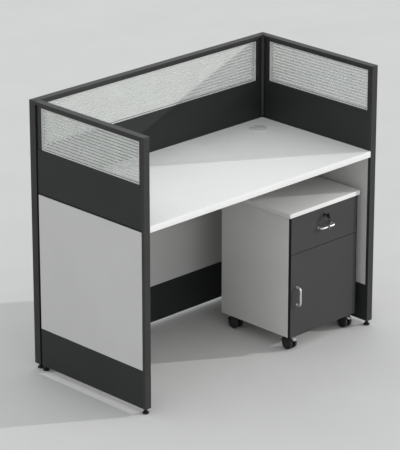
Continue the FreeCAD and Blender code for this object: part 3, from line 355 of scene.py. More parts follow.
# Polycarbonate: extruded clear, so the gaps show what lies behind with only a faint veil and gloss.
clear_sheet = grained(
    "clear_polycarbonate",
    ("#cfd2cf", "#d4d7d4"),
    roughness=0.2,
    grain=3,
    relief=0.01,
    cloud=60,
    Alpha=0.27,
)
# Frosted ink: screen-printed in bands and matt, it takes in the light behind it as an even glow.
frosted_band = grained(
    "frosted_ink_band",
    ("#c2c4c1", "#c8cac7"),
    roughness=0.6,
    grain=0.9,
    relief=0.005,
    Subsurface_Weight=1,
    Subsurface_Radius=(1, 1, 1),
    Subsurface_Scale=0.0006,
)
for side in ("left", "right", "back"):
    low, high = corners(f"{side}_glazing")
    across = 1 if side == "back" else 0
    along = 1 - across
    sheet = bmesh.new()
    add_block(sheet, low, high)
    sheet.normal_update()
    # The sawn ends of the sheet are as dull as the bands.
    for face in sheet.faces:
        face.material_index = 0 if abs(face.normal[along]) > FACING else 1
    band_low, band_high = low.copy(), high.copy()
    band_high[across] = low[across] - BAND_OFF_SHEET
    band_low[across] = band_high[across] - BAND_THICKNESS
    for start, end in ((low[along], low[along] + BORDER), (high[along] - BORDER, high[along])):
        band_low[along], band_high[along] = start, end
        add_block(sheet, band_low, band_high)
    band_low[along], band_high[along] = low[along] + BORDER, high[along] - BORDER
    middle = low[2] + (BAND_PITCH + RIB) / 2 + BAND_PITCH
    while middle + BAND_HEIGHT / 2 < high[2] - SEAT:
        band_low[2] = middle - BAND_HEIGHT / 2
        band_high[2] = middle + BAND_HEIGHT / 2
        add_block(sheet, band_low, band_high)
        middle += BAND_PITCH
    finish_piece(
        sheet,
        f"{side}_banded_sheet",
        [frosted_band, clear_sheet],
        "screens_and_desk",
        [f"{side}_glazing"],
    )


# Glazing beads: a pale bead of soft plastic, mitred at the corners and pressed in between sheet and
# frame all round, on both faces of each sheet.

BEAD_WIDTH = 3
BEAD_NEAR = 5.5
BEAD_FAR = 10.8
BEAD_EDGE = 1
# Places nearer to each other than this, in millimetres, are the same place.
NEAR = 0.01


def add_copy(shape, part):
    """Adds one bmesh to another."""
    mesh = bpy.data.meshes.new("part")
    part.to_mesh(mesh)
    part.free()
    shape.from_mesh(mesh)
    bpy.data.meshes.remove(mesh)


# Soft PVC: extruded in a milky white, so it takes the light evenly and lines the sheet brightly.
bead_plastic = grained(
    "soft_pvc_bead", ("#c6c6c4", "#cccccb"), roughness=0.45, grain=1.2, relief=0.02, cloud=60
)
tiles_top = corners("upper_tiles")[1][2]
for side in ("left", "right", "back"):
    low, high = corners(f"{side}_glazing")
    across = 1 if side == "back" else 0
    middle = (low[across] + high[across]) / 2
    beads = bmesh.new()
    for sign in (-1, 1):
        bead_low = [value + SEAT for value in low]
        bead_high = [value - SEAT for value in high]
        bead_low[2] = tiles_top
        reach = (middle + sign * BEAD_NEAR, middle + sign * BEAD_FAR)
        bead_low[across], bead_high[across] = sorted(reach)
        bead = bmesh.new()
        add_block(bead, bead_low, bead_high)
        bead.normal_update()
        ends = [face for face in bead.faces if abs(face.normal[across]) > FACING]
        bmesh.ops.inset_individual(bead, faces=ends, thickness=BEAD_WIDTH * MM, use_even_offset=True)
        rims = [edge for face in ends for edge in face.edges]
        bmesh.ops.delete(bead, geom=ends, context="FACES_ONLY")
        bmesh.ops.bridge_loops(bead, edges=rims)
        outside = [
            edge
            for edge in sharp_edges(bead)
            if all(abs(vert.co[across] / MM - reach[1]) < NEAR for vert in edge.verts)
        ]
        round_edges(bead, outside, BEAD_EDGE, segments=3)
        add_copy(beads, bead)
    finish_piece(beads, f"{side}_glazing_beads", [bead_plastic], "screens_and_desk", [])


# Levelling feet: a moulded nylon pad on a steel stem, with a hexagon for the spanner; the stem's
# thread runs up into the stile or post.

PAD_OUTLINE = [
    (0, 0), (0, 11.8), (0.3, 12.6), (0.9, 13), (5, 13), (5.8, 12.5), (6.4, 11), (6.8, 8.5), (7, 6.4),
    (7, 0),
]
NUT_FLATS = 13
NUT_LOW = 7
NUT_HIGH = 13.5
NUT_EDGE = 0.5
STEM_TOP = 48
STEM_RADIUS = 4
THREAD_PITCH = 1.25
THREAD_DEPTH = 0.4
WELD_WITHIN = 0.001
UP = (0, 0, 1)


def add_turned(shape, outline, centre, axis, steps=32, closed=False):
    """Spins an outline of (place along the axis, radius) in millimetres into a turned solid."""
    before = set(shape.verts)
    along = Vector(axis)
    across = Vector((1, 0, 0)) if along.z else Vector((0, 0, 1))
    verts = [shape.verts.new((along * place + across * radius) * MM) for place, radius in outline]
    pairs = list(zip(verts, verts[1:])) + ([(verts[-1], verts[0])] if closed else [])
    edges = [shape.edges.new(pair) for pair in pairs]
    bmesh.ops.spin(
        shape,
        geom=verts + edges,
        cent=(0, 0, 0),
        axis=along,
        dvec=(0, 0, 0),
        angle=math.tau,
        steps=steps,
        use_merge=True,
        use_duplicate=False,
    )
    made = [vert for vert in shape.verts if vert not in before]
    bmesh.ops.remove_doubles(shape, verts=made, dist=WELD_WITHIN * MM)
    made = [vert for vert in shape.verts if vert not in before]
    bmesh.ops.translate(shape, vec=Vector(centre) * MM, verts=made)


# Moulded nylon: black, with the dull face of a textured mould.
foot_nylon = grained(
    "moulded_nylon_foot", ("#101010", "#161616"), roughness=0.55, grain=1.1, relief=0.05
)
# Blackened steel: oiled black oxide over a machined stem, dark with a low metal gleam.
foot_steel = grained(
    "blackened_steel_stem", ("#2c2c2d", "#38383a"), roughness=0.38, grain=0.7, relief=0.02, Metallic=1
)
nut_radius = NUT_FLATS / math.sqrt(3)
# The thread is drawn as rings, one to each turn.
thread = [(NUT_HIGH, 0)]
ridge = NUT_HIGH
while ridge < STEM_TOP - THREAD_PITCH:
    thread += [(ridge, STEM_RADIUS - THREAD_DEPTH), (ridge + THREAD_PITCH / 2, STEM_RADIUS)]
    ridge += THREAD_PITCH
thread += [(STEM_TOP, STEM_RADIUS - THREAD_DEPTH), (STEM_TOP, 0)]
for side in ("left", "right"):
    for spot in ("front", "rear", "post"):
        name = f"{side}_{spot}_foot"
        low, high = corners(name)
        centre = ((low[0] + high[0]) / 2, (low[1] + high[1]) / 2, 0)
        foot = bmesh.new()
        add_turned(foot, PAD_OUTLINE, centre, UP, steps=40)
        nut_middle = Vector(centre) + Vector((0, 0, (NUT_LOW + NUT_HIGH) / 2))
        nut = bmesh.ops.create_cone(
            foot,
            cap_ends=True,
            segments=6,
            radius1=nut_radius * MM,
            radius2=nut_radius * MM,
            depth=(NUT_HIGH - NUT_LOW) * MM,
            matrix=Matrix.Translation(nut_middle * MM),
        )["verts"]
        round_edges(foot, edges_of(nut), NUT_EDGE)
        add_turned(foot, thread, centre, UP, steps=20)
        for face in foot.faces:
            if face.calc_center_median().z > (NUT_LOW + NEAR) * MM:
                face.material_index = 1
        finish_piece(
            foot, f"{name}_glide", [foot_nylon, foot_steel], name, [name], smooth=35
        )


# Desktop: 25 mm particle board faced in white melamine, with a white plastic strip glued along the
# front edge and trimmed flush, its two long edges eased.

EASED_EDGE = 1.4

# Melamine: printed paper cured onto the board under a satin plate, so smooth, even and softly lit.
white_melamine = grained(
    "white_melamine", ("#ececea", "#efefed"), roughness=0.4, grain=1.5, relief=0.03, cloud=220
)
# ABS: extruded edge strip, smoother and a touch glossier than the board's face.
white_edging = grained(
    "white_abs_edging", ("#e4e4e2", "#e8e8e6"), roughness=0.34, grain=0.9, relief=0.015
)
dress(white_melamine, "desktop")
low, high = corners("desktop_edging")
edging = bmesh.new()
add_block(edging, low, high)
front_edges = [
    edge
    for edge in edging.edges
    if all(abs(vert.co.y / MM - low[1]) < NEAR for vert in edge.verts)
    and abs(edge.verts[0].co.z - edge.verts[1].co.z) < NEAR * MM
]
round_edges(edging, front_edges, EASED_EDGE, segments=3)
finish_piece(
    edging, "desk_edge_strip", [white_edging], "screens_and_desk", ["desktop_edging"]
)


# Angles and screws under the desktop: folded steel, powder-coated white, each held by zinc-plated
# pan-head screws with a cross recess, up into the desktop and sideways into the screens.

SHANK = 16
HEAD_RADIUS = 4
HEAD_HEIGHT = 2.5
CROSS_HALF_LENGTH = 1.7
CROSS_HALF_WIDTH = 0.45
CROSS_DEPTH = 1.4
CROSS_TAPER = 0.6
ROW_FROM_SIDE = 15
SCREWS_PER_ANGLE = 3
SCREW_PITCH = 180
STAGGER = 30
HEAD_OUTLINE = [
    (-HEAD_HEIGHT, 0), (-HEAD_HEIGHT, 2.4), (-2.3, 3.1), (-1.7, 3.7), (-0.9, HEAD_RADIUS),
    (0, HEAD_RADIUS), (0, 2), (14, 2), (15.4, 0.7), (SHANK, 0),
]


def add_screw(shape, place, turn, scale=1):
    """A pan-head screw whose head's seat is at a place; its shank runs along +Z before the turn."""
    screw = bmesh.new()
    add_turned(screw, HEAD_OUTLINE, (0, 0, 0), UP, steps=20)

    def head_top():
        return [
            face
            for face in screw.faces
            if abs(face.calc_center_median().z / MM + HEAD_HEIGHT) < NEAR
        ]

    bmesh.ops.dissolve_faces(screw, faces=head_top())
    for normal in ((1, 0, 0), (0, 1, 0)):
        for line in (-CROSS_HALF_LENGTH, -CROSS_HALF_WIDTH, CROSS_HALF_WIDTH, CROSS_HALF_LENGTH):
            top = (item for face in head_top() for item in (face, *face.edges, *face.verts))
            bmesh.ops.bisect_plane(
                screw,
                geom=list(dict.fromkeys(top)),
                plane_co=Vector(normal) * line * MM,
                plane_no=normal,
            )
    cross = []
    for face in head_top():
        middle = face.calc_center_median() / MM
        reach = sorted((abs(middle.x), abs(middle.y)))
        if reach[0] < CROSS_HALF_WIDTH and reach[1] < CROSS_HALF_LENGTH:
            cross.append(face)
    sunk = bmesh.ops.extrude_face_region(screw, geom=cross)["geom"]
    recess = [item for item in sunk if isinstance(item, bmesh.types.BMVert)]
    bmesh.ops.translate(screw, vec=(0, 0, CROSS_DEPTH * MM), verts=recess)
    bmesh.ops.scale(screw, vec=(CROSS_TAPER, CROSS_TAPER, 1), verts=recess)
    bmesh.ops.delete(screw, geom=[face for face in cross if face.is_valid], context="FACES_ONLY")
    spot = Matrix.Translation(Vector(place) * MM) @ turn @ Matrix.Scale(scale, 4)
    bmesh.ops.transform(screw, matrix=spot, verts=screw.verts)
    add_copy(shape, screw)


# Powder-coated steel: white, with the same orange peel as the frames.
bracket_coat = grained(
    "powder_coated_steel_white", ("#d6d6d4", "#dcdcda"), roughness=0.45, grain=ORANGE_PEEL, relief=0.05
)
# Zinc plate: bright electroplated zinc, cool grey and faintly blotched.
zinc = grained(
    "zinc_plated_steel",
    ("#9a9ca0", "#b4b6ba"),
    roughness=0.32,
    grain=1.2,
    relief=0.02,
    cloud=9,
    Metallic=1,
)
dress(bracket_coat, "desk_brackets")
low, high = corners("bracket_screws")
screws = bmesh.new()
for sign in (-1, 1):
    sideways = Matrix.Rotation(math.radians(90 * sign), 4, "Y")
    seat = (high[0] - SHANK) * sign
    for number in range(SCREWS_PER_ANGLE):
        y = low[1] + HEAD_RADIUS + SCREW_PITCH * number
        upward = (seat - ROW_FROM_SIDE * sign, y, high[2] - SHANK)
        add_screw(screws, upward, Matrix.Identity(4))
        add_screw(screws, (seat, y + STAGGER, low[2] + HEAD_RADIUS), sideways)
finish_piece(
    screws, "cross_head_screws", [zinc], "screens_and_desk", ["bracket_screws"], smooth=30
)


# Cable grommet: a flanged sleeve of moulded grey-white plastic pressed into the hole, and a loose cap
# with a notch for the cables.

GROMMET_EDGE = 0.25

# Moulded ABS: from a polished mould, so glossier than the desktop around it.
grommet_plastic = grained(
    "moulded_abs_grommet", ("#d2d2cf", "#d7d7d4"), roughness=0.33, grain=0.9, relief=0.02
)
for name, body in (("grommet_sleeve", "screens_and_desk"), ("grommet_cap", "grommet_cap")):
    part = merged_copy(name)
    soften(part, GROMMET_EDGE)
    finish_piece(part, f"{name}_moulding", [grommet_plastic], body, [name])


# Pedestal carcass: boards faced in light grey melamine, dowelled and cammed together. The top
# oversails the sides and has a white strip along its front; its ends keep the board's grey as painted
# shade. The carcass's front edges are black as painted shadow of the gaps round the fronts.

BOARD_COLOURS = ("#c6c6c3", "#cbcbc8")
TOP_COLOURS = ("#c9c9c6", "#cfcfcc")
# What looks forward by at least this much takes the strip: white on the top, and black, as painted
# shadow, on the other boards; on the back board this is its whole inner face.
STRIP_FACING = 0.7

# Melamine-faced board: satin and even, with a faint pearl that only shows in a low light.
light_board = grained(
    "melamine_board_light", BOARD_COLOURS, roughness=0.42, grain=1.4, relief=0.035, cloud=180
)
# The top's finish also covers its ends, which stay grey as painted shade where the white strip runs
# round.
top_board_and_end_shade = grained(
    "melamine_top_and_end_shade", TOP_COLOURS, roughness=0.42, grain=1.4, relief=0.035, cloud=180
)
# ABS strip: extruded and glued on the sawn edge, smoother than the faces beside it. Its black also
# stands for painted shade: shadow of the gaps on the carcass, and of the right screen on the fronts.
black_edging_and_shade = grained(
    "black_edging_and_painted_shade",
    ("#0f0f0f", "#141414"),
    roughness=0.4,
    grain=0.9,
    relief=0.015,
    Specular_IOR_Level=0.3,
)
for name, board, strip, edge in (
    ("pedestal_top", top_board_and_end_shade, white_edging, 0.6),
    ("pedestal_left_side", light_board, black_edging_and_shade, 0.4),
    ("pedestal_right_side", light_board, black_edging_and_shade, 0.4),
    ("pedestal_back", light_board, black_edging_and_shade, 0.3),
    ("pedestal_floor", light_board, black_edging_and_shade, 0.3),
    ("pedestal_divider", light_board, black_edging_and_shade, 0.3),
):
    part = bmesh.new()
    add_block(part, *corners(name), edge)
    part.normal_update()
    # Forward faces take the strip; the top's ends stay grey as painted shade, and the black on the
    # other boards is painted shadow.
    for face in part.faces:
        if face.normal.y < -STRIP_FACING:
            face.material_index = 1
    finish_piece(part, f"{name}_board", [board, strip], "pedestal", [name])


# Drawer front and door: 12 mm board faced in charcoal melamine, with black strip glued round all
# four edges; the edges' black is partly the strip and partly painted shade. At the right a black band
# over the face is a painted shadow of the right screen.

# The black band at the right of each front, this wide, is a painted shadow of the right screen.
PAINTED_SHADOW_BAND = 5
# What looks forward or back by less than this is an edge of the board.
SIDE_FACING = 0.3

# Melamine in charcoal: the same satin plate as the carcass, in a dark tone.
charcoal_board = grained(
    "melamine_board_charcoal",
    ("#383837", "#3c3c3b"),
    roughness=0.44,
    grain=1.4,
    relief=0.04,
    cloud=150,
    Specular_IOR_Level=0.25,
)
for name, body in (("drawer_front", "drawer"), ("cupboard_door", "door")):
    part = merged_copy(name, whole_faces=False)
    shadow_band_from = corners(name)[1][0] - PAINTED_SHADOW_BAND
    bmesh.ops.bisect_plane(
        part,
        geom=part.verts[:] + part.edges[:] + part.faces[:],
        plane_co=(shadow_band_from * MM, 0, 0),
        plane_no=(1, 0, 0),
    )
    part.normal_update()
    # Edges take the black strip, partly as painted shade, and so does the band at the right, a painted
    # shadow.
    for face in part.faces:
        if abs(face.normal.y) < SIDE_FACING or face.calc_center_median().x > shadow_band_from * MM:
            face.material_index = 1
    finish_piece(
        part, f"{name}_board", [charcoal_board, black_edging_and_shade], body, [name], smooth=0
    )


# Drawer tray and runners: a tray folded from sheet steel with rounded folds, powder-coated, between
# zinc-plated telescopic runners rolled from strip.

SHEET_STEEL = 1.2
TRAY_FOLD = 2.5
RUNNER_EDGE = 0.3

# Powder-coated steel: light grey and satin, with the same orange peel as the frames.
tray_coat = grained(
    "powder_coated_steel_tray", ("#c3c3c1", "#c9c9c7"), roughness=0.42, grain=ORANGE_PEEL, relief=0.05
)
tray = bmesh.new()
add_block(tray, *corners("drawer_box"))
tray.normal_update()
lid = [face for face in tray.faces if face.normal.z > FACING]
bmesh.ops.delete(tray, geom=lid, context="FACES_ONLY")
round_edges(tray, [edge for edge in tray.edges if edge.is_manifold], TRAY_FOLD, segments=4)
bmesh.ops.recalc_face_normals(tray, faces=tray.faces)
bmesh.ops.solidify(tray, geom=tray.faces[:], thickness=SHEET_STEEL * MM)
finish_piece(tray, "folded_tray", [tray_coat], "drawer", ["drawer_box"], smooth=30)
for name, body in (
    ("runner_cabinet_members", "pedestal"),
    ("runner_middle_members", "runner_middles"),
    ("runner_drawer_members", "drawer"),
):
    part = merged_copy(name)
    soften(part, RUNNER_EDGE)
    finish_piece(part, f"{name}_steel", [zinc], body, [name])


# Hinges of the cupboard door: a pressed cup let into the back of the door, and a plate with its arm
# screwed to the side of the carcass.

PLATE_THICKNESS = 3
PLATE_HALF_HEIGHT = 20
PLATE_EDGE = 0.6
CUP_EDGE = 0.2
SCREWS_FROM_FRONT = 30
HINGE_SCREW_SCALE = 0.8
SCREW_SPREAD = 14

# Nickel plate: pressed steel, barrel-plated, warmer and brighter than zinc.
nickel = grained(
    "nickel_plated_steel",
    ("#a8a6a2", "#b8b6b2"),
    roughness=0.24,
    grain=1,
    relief=0.015,
    cloud=14,
    Metallic=1,
)
cups = merged_copy("hinge_cups")
soften(cups, CUP_EDGE)
finish_piece(cups, "pressed_hinge_cups", [nickel], "door", ["hinge_cups"])
plates = merged_copy("hinge_plates")
soften(plates, PLATE_EDGE)
low, high = corners("hinge_plates")
across_plate = Matrix.Rotation(math.radians(90), 4, "Y")
for height in (low[2] + PLATE_HALF_HEIGHT, high[2] - PLATE_HALF_HEIGHT):
    for away in (-SCREW_SPREAD, SCREW_SPREAD):
        seat = (high[0] - PLATE_THICKNESS, low[1] + SCREWS_FROM_FRONT, height + away)
        add_screw(plates, seat, across_plate, HINGE_SCREW_SCALE)
finish_piece(
    plates, "hinge_plates_with_screws", [nickel], "pedestal", ["hinge_plates"]
)


# Bow handles: 8 mm steel rod bent to a bow on two turned feet and plated in satin nickel. Screws
# driven through the front from behind hold them.

ROD_RADIUS = 4
HANDLE_BEND = 10
ROD_OFF_FRONT = 0.5
FOOT_RADIUS = 5
FOOT_OUTLINE = [(0, 0), (0, FOOT_RADIUS), (-1.2, FOOT_RADIUS), (-1.7, 4.8), (-2, 4.4), (-2, 0)]
low, high = corners("drawer_handle")
HANDLE_HALF = (high[0] - low[0]) / 2 - FOOT_RADIUS
HANDLE_REACH = high[1] - low[1] - ROD_RADIUS


def add_bow_handle(shape, centre, turn):
    """A bent rod on two feet, drawn level about the origin, then turned and moved."""
    straight = HANDLE_REACH - HANDLE_BEND
    lie = Matrix.Rotation(math.radians(90), 4, "X")
    ring = bmesh.ops.create_circle(
        shape,
        segments=24,
        radius=ROD_RADIUS * MM,
        matrix=Matrix.Translation((-HANDLE_HALF * MM, -ROD_OFF_FRONT * MM, 0)) @ lie,
    )["verts"]
    legs = (
        ("run", (0, ROD_OFF_FRONT - straight, 0)),
        ("bend", (-HANDLE_HALF + HANDLE_BEND, -straight, 0)),
        ("run", (2 * (HANDLE_HALF - HANDLE_BEND), 0, 0)),
        ("bend", (HANDLE_HALF - HANDLE_BEND, -straight, 0)),
        ("run", (0, straight - ROD_OFF_FRONT, 0)),
    )
    for kind, value in legs:
        edges = [edge for edge in edges_of(ring) if all(vert in ring for vert in edge.verts)]
        if kind == "run":
            made = bmesh.ops.extrude_edge_only(shape, edges=edges)["geom"]
            ring = [item for item in made if isinstance(item, bmesh.types.BMVert)]
            bmesh.ops.translate(shape, vec=Vector(value) * MM, verts=ring)
        else:
            made = bmesh.ops.spin(
                shape,
                geom=ring + edges,
                cent=Vector(value) * MM,
                axis=(0, 0, 1),
                dvec=(0, 0, 0),
                angle=math.radians(90),
                steps=10,
                use_duplicate=False,
            )["geom_last"]
            ring = [item for item in made if isinstance(item, bmesh.types.BMVert)]
    bmesh.ops.holes_fill(shape, edges=[edge for edge in shape.edges if edge.is_boundary], sides=0)
    for sign in (-1, 1):
        add_turned(shape, FOOT_OUTLINE, (HANDLE_HALF * sign, 0, 0), (0, 1, 0), steps=28)
    spot = Matrix.Translation(Vector(centre) * MM) @ turn
    bmesh.ops.transform(shape, matrix=spot, verts=shape.verts)


# Satin nickel: plated over a rod blasted with fine beads, so its highlights are wide and soft. The
# blasting is drawn coarser than it is, so that it shows.
handle_nickel = grained(
    "satin_nickel_handle",
    ("#dadad8", "#e4e4e2"),
    roughness=0.5,
    grain=0.6,
    relief=0.01,
    cloud=18,
    uneven=0.06,
    Metallic=1,
)
for name, body, turn in (
    ("drawer_handle", "drawer", Matrix.Identity(4)),
    ("door_handle", "door", Matrix.Rotation(math.radians(90), 4, "Y")),
):
    low, high = corners(name)
    handle = bmesh.new()
    add_bow_handle(handle, ((low[0] + high[0]) / 2, high[1], (low[2] + high[2]) / 2), turn)
    finish_piece(handle, f"{name}_bow", [handle_nickel], body, [name])


# Lock of the drawer: a die-cast zinc barrel pressed through the front, and in it a plug that turns,
# with its cam behind. Both are plated black.

FLANGE_THICKNESS = 2
PLUG_BORE = 5.05
FLANGE_OUTLINE = [
    (-FLANGE_THICKNESS, PLUG_BORE), (-FLANGE_THICKNESS, 8.9), (-1.8, 9.9), (-1.2, 10.5), (0, 10.5),
    (0, 8), (18, 8), (18, PLUG_BORE),
]

# Black plating: die-cast zinc under black chrome, nearly black with a narrow sheen.
black_plating = grained(
    "black_plated_zinc",
    ("#0c0c0d", "#121213"),
    roughness=0.4,
    grain=0.8,
    relief=0.015,
    Specular_IOR_Level=0.4,
)
low, high = corners("lock_barrel")
lock_axis = ((low[0] + high[0]) / 2, low[1] + FLANGE_THICKNESS, (low[2] + high[2]) / 2)
barrel = bmesh.new()
add_turned(barrel, FLANGE_OUTLINE, lock_axis, (0, 1, 0), steps=40, closed=True)
finish_piece(barrel, "lock_flange", [black_plating], "drawer", ["lock_barrel"])
plug = merged_copy("lock_plug")
finish_piece(plug, "lock_plug_and_cam", [black_plating], "lock_plug", ["lock_plug"])


# Keys and ring: flat keys with a moulded bow over a blade cut on one side, one in the lock and a
# spare that hangs in front of the drawer on a split ring coiled from wire.

BOW_RADIUS = 10
BOW_HALF = 1.2
KEY_HOLE_RADIUS = 2.9
KEY_HOLE_INSET = 4.2
KEY_EDGE = 0.5
KEY_BLADE = 17
BLADE_HALF = 0.9
RING_RADIUS = 9
RING_COIL = 0.35
RING_WIRE = 0.34
RING_TURN = -45
shoulder = corners("lock_plug")[0][1]
KEY_NECK = shoulder - corners("key")[0][1] - 2 * BOW_RADIUS
HOLE_FROM_SHOULDER = KEY_NECK + 2 * BOW_RADIUS - KEY_HOLE_INSET


def add_key(shape, matrix):
    """A flat key with its shoulder at the origin: the blade runs to +Y and the bow to -Y."""
    key = bmesh.new()
    flat = Matrix.Rotation(math.radians(90), 4, "Y")
    middle = -KEY_NECK - BOW_RADIUS
    rims = []
    for radius, at in ((BOW_RADIUS, middle), (KEY_HOLE_RADIUS, -HOLE_FROM_SHOULDER)):
        circle = bmesh.ops.create_circle(
            key,
            segments=40,
            radius=radius * MM,
            matrix=Matrix.Translation((-BOW_HALF * MM, at * MM, 0)) @ flat,
        )["verts"]
        rims += edges_of(circle)
    faces = bmesh.ops.bridge_loops(key, edges=rims)["faces"]
    made = bmesh.ops.extrude_face_region(key, geom=faces)["geom"]
    far = [item for item in made if isinstance(item, bmesh.types.BMVert)]
    bmesh.ops.translate(key, vec=(2 * BOW_HALF * MM, 0, 0), verts=far)
    bmesh.ops.recalc_face_normals(key, faces=key.faces)
    soften(key, KEY_EDGE)
    bow_faces = set(key.faces)
    cuts = [
        (-KEY_NECK - 1.5, -3.5), (-0.6, -3.5), (-0.6, -2.9), (2.5, -2.9), (3.6, -1.6), (4.6, -1.6),
        (5.8, -2.7), (6.8, -2.7), (8.2, -1.2), (9.2, -1.2), (10.4, -2.4), (11.4, -2.4), (12.6, -1.8),
        (KEY_BLADE - 3, -1.8), (KEY_BLADE, 0.6), (KEY_BLADE, 1.4), (KEY_BLADE - 2, 2.9), (-0.6, 2.9),
        (-0.6, 3.5), (-KEY_NECK - 1.5, 3.5),
    ]
    blade = key.faces.new([key.verts.new((-BLADE_HALF * MM, y * MM, z * MM)) for y, z in cuts])
    made = bmesh.ops.extrude_face_region(key, geom=[blade])["geom"]
    far = [item for item in made if isinstance(item, bmesh.types.BMVert)]
    bmesh.ops.translate(key, vec=(2 * BLADE_HALF * MM, 0, 0), verts=far)
    for face in key.faces:
        if face not in bow_faces:
            face.material_index = 1
    bmesh.ops.transform(key, matrix=matrix, verts=key.verts)
    bmesh.ops.recalc_face_normals(key, faces=key.faces)
    add_copy(shape, key)


# Moulded bow: black plastic moulded over the steel, matt.
key_plastic = grained("moulded_key_bow", ("#0d0d0e", "#131314"), roughness=0.45, grain=0.7, relief=0.03)
# Key steel: stamped and milled, with a dull nickel plate, a mid grey metal.
key_steel = grained(
    "stamped_steel_key", ("#6e6e6f", "#7c7c7d"), roughness=0.36, grain=0.8, relief=0.015, Metallic=1
)
# Ring: hardened spring wire, black-nickelled like the keys.
ring_steel = grained(
    "black_nickelled_ring", ("#3c3c3d", "#4a4a4b"), roughness=0.32, grain=0.8, relief=0.01, Metallic=1
)
lock_x, _, lock_z = lock_axis
key = bmesh.new()
add_key(key, Matrix.Translation(Vector((lock_x, shoulder, lock_z)) * MM))
finish_piece(key, "key_in_lock", [key_plastic, key_steel], "key", ["key"], smooth=35)

ring_middle = Vector((lock_x, shoulder - HOLE_FROM_SHOULDER, lock_z - RING_RADIUS))
ring = bmesh.new()
for coil in (-RING_COIL, RING_COIL):
    wire_end = Matrix.Translation((RING_RADIUS * MM, 0, coil * MM))
    wire = bmesh.ops.create_circle(
        ring,
        segments=10,
        radius=RING_WIRE * MM,
        matrix=wire_end @ Matrix.Rotation(math.radians(90), 4, "X"),
    )["verts"]
    bmesh.ops.spin(
        ring,
        geom=wire + edges_of(wire),
        cent=(0, 0, 0),
        axis=(0, 0, 1),
        dvec=(0, 0, 0),
        angle=math.tau,
        steps=56,
        use_merge=True,
        use_duplicate=False,
    )
for face in ring.faces:
    face.material_index = 2
stand = Matrix.Rotation(math.radians(RING_TURN), 4, "Z") @ Matrix.Rotation(math.radians(90), 4, "X")
bmesh.ops.transform(ring, matrix=Matrix.Translation(ring_middle * MM) @ stand, verts=ring.verts)
hang = Matrix.Rotation(math.radians(90), 4, "Z") @ Matrix.Rotation(math.radians(-90), 4, "X")
spare_shoulder = ring_middle - Vector((0, 0, RING_RADIUS + HOLE_FROM_SHOULDER))
add_key(ring, Matrix.Translation(spare_shoulder * MM) @ hang)
finish_piece(
    ring,
    "split_ring_and_spare_key",
    [key_plastic, key_steel, ring_steel],
    "key_ring",
    ["key_ring"],
    smooth=35,
)


# Casters: nylon hoods over twin wheels with a soft tread, each swivelling on a steel stem riveted to
# a pressed plate, which four screws hold to the pedestal. The front pair carry a brake lever.

CASTER_PLATE = 42
PLATE_SHEET = 2
CASTER_SCREW_SPREAD = 15
CASTER_PLATE_EDGE = 0.5
CASTER_SCREW_SCALE = 0.7
STEM_LOW = 33
CASTER_STEM_RADIUS = 4
STEM_CHAMFER = 0.6
STEM_IN_PLATE = 0.2
HOOD_EDGE = 0.35
LEVER_EDGE = 0.4
WHEEL_CENTRE = 25
TREAD_FROM = 19.8
WHEEL_OUTLINE = [
    (3, 0), (3, 3), (6.5, 3), (6.5, 22.6), (6.9, 24.2), (8, 25), (16, 25), (17.4, 24.5), (18.5, 23.4),
    (19, 21.6), (19, 20.4), (18.2, 19.6), (16.6, 19), (16.2, 18), (16.2, 11.6), (16.8, 10.4), (17.4, 9),
    (17.5, 4.4), (17.1, 3.6), (17.1, 0),
]
AXLE_OUTLINE = [(-3, 0), (-3, 3), (3, 3), (3, 0)]

# Moulded nylon: black and a little glossier than the feet, from a polished mould.
caster_nylon = grained(
    "moulded_nylon_caster", ("#101010", "#161616"), roughness=0.46, grain=1, relief=0.04
)
# Soft polyurethane: cast on the rim as a tread, matt and faintly scuffed by the floor.
tread = grained(
    "soft_polyurethane_tread", ("#1a1a1a", "#232322"), roughness=0.78, grain=0.7, relief=0.06, cloud=12
)
for name in ("front_left", "front_right", "rear_left", "rear_right"):
    hood = merged_copy(f"{name}_caster_hood")
    soften(hood, HOOD_EDGE, sharper_than=60)
    finish_piece(
        hood, f"{name}_hood", [caster_nylon], f"{name}_caster", [f"{name}_caster_hood"]
    )
    low, high = corners(f"{name}_wheels")
    hub = ((low[0] + high[0]) / 2, (low[1] + high[1]) / 2, WHEEL_CENTRE)
    wheels = bmesh.new()
    for sign in (-1, 1):
        add_turned(wheels, WHEEL_OUTLINE, hub, (sign, 0, 0), steps=48)
    add_turned(wheels, AXLE_OUTLINE, hub, (1, 0, 0), steps=48)
    for face in wheels.faces:
        middle = face.calc_center_median() / MM
        if math.hypot(middle.y - hub[1], middle.z - WHEEL_CENTRE) > TREAD_FROM:
            face.material_index = 1
    finish_piece(
        wheels,
        f"{name}_twin_wheels",
        [caster_nylon, tread],
        f"{name}_wheels",
        [f"{name}_wheels"],
        smooth=35,
    )
low, high = corners("caster_stems")
stems = bmesh.new()
half_plate = CASTER_PLATE / 2
plate_low = high[2] - PLATE_SHEET
stem_high = plate_low + STEM_IN_PLATE
stem_outline = [
    (STEM_LOW, 0), (STEM_LOW, CASTER_STEM_RADIUS - STEM_CHAMFER),
    (STEM_LOW + STEM_CHAMFER, CASTER_STEM_RADIUS), (stem_high, CASTER_STEM_RADIUS), (stem_high, 0),
]
for x in (low[0] + half_plate, high[0] - half_plate):
    for y in (low[1] + half_plate, high[1] - half_plate):
        plate_corner = (x - half_plate, y - half_plate, plate_low)
        add_block(stems, plate_corner, (x + half_plate, y + half_plate, high[2]), CASTER_PLATE_EDGE)
        add_turned(stems, stem_outline, (x, y, 0), UP, steps=24)
        for across in (-CASTER_SCREW_SPREAD, CASTER_SCREW_SPREAD):
            for along in (-CASTER_SCREW_SPREAD, CASTER_SCREW_SPREAD):
                seat = (x + across, y + along, plate_low)
                add_screw(stems, seat, Matrix.Identity(4), CASTER_SCREW_SCALE)
finish_piece(
    stems, "caster_plates_and_stems", [zinc], "pedestal", ["caster_stems"], smooth=30
)
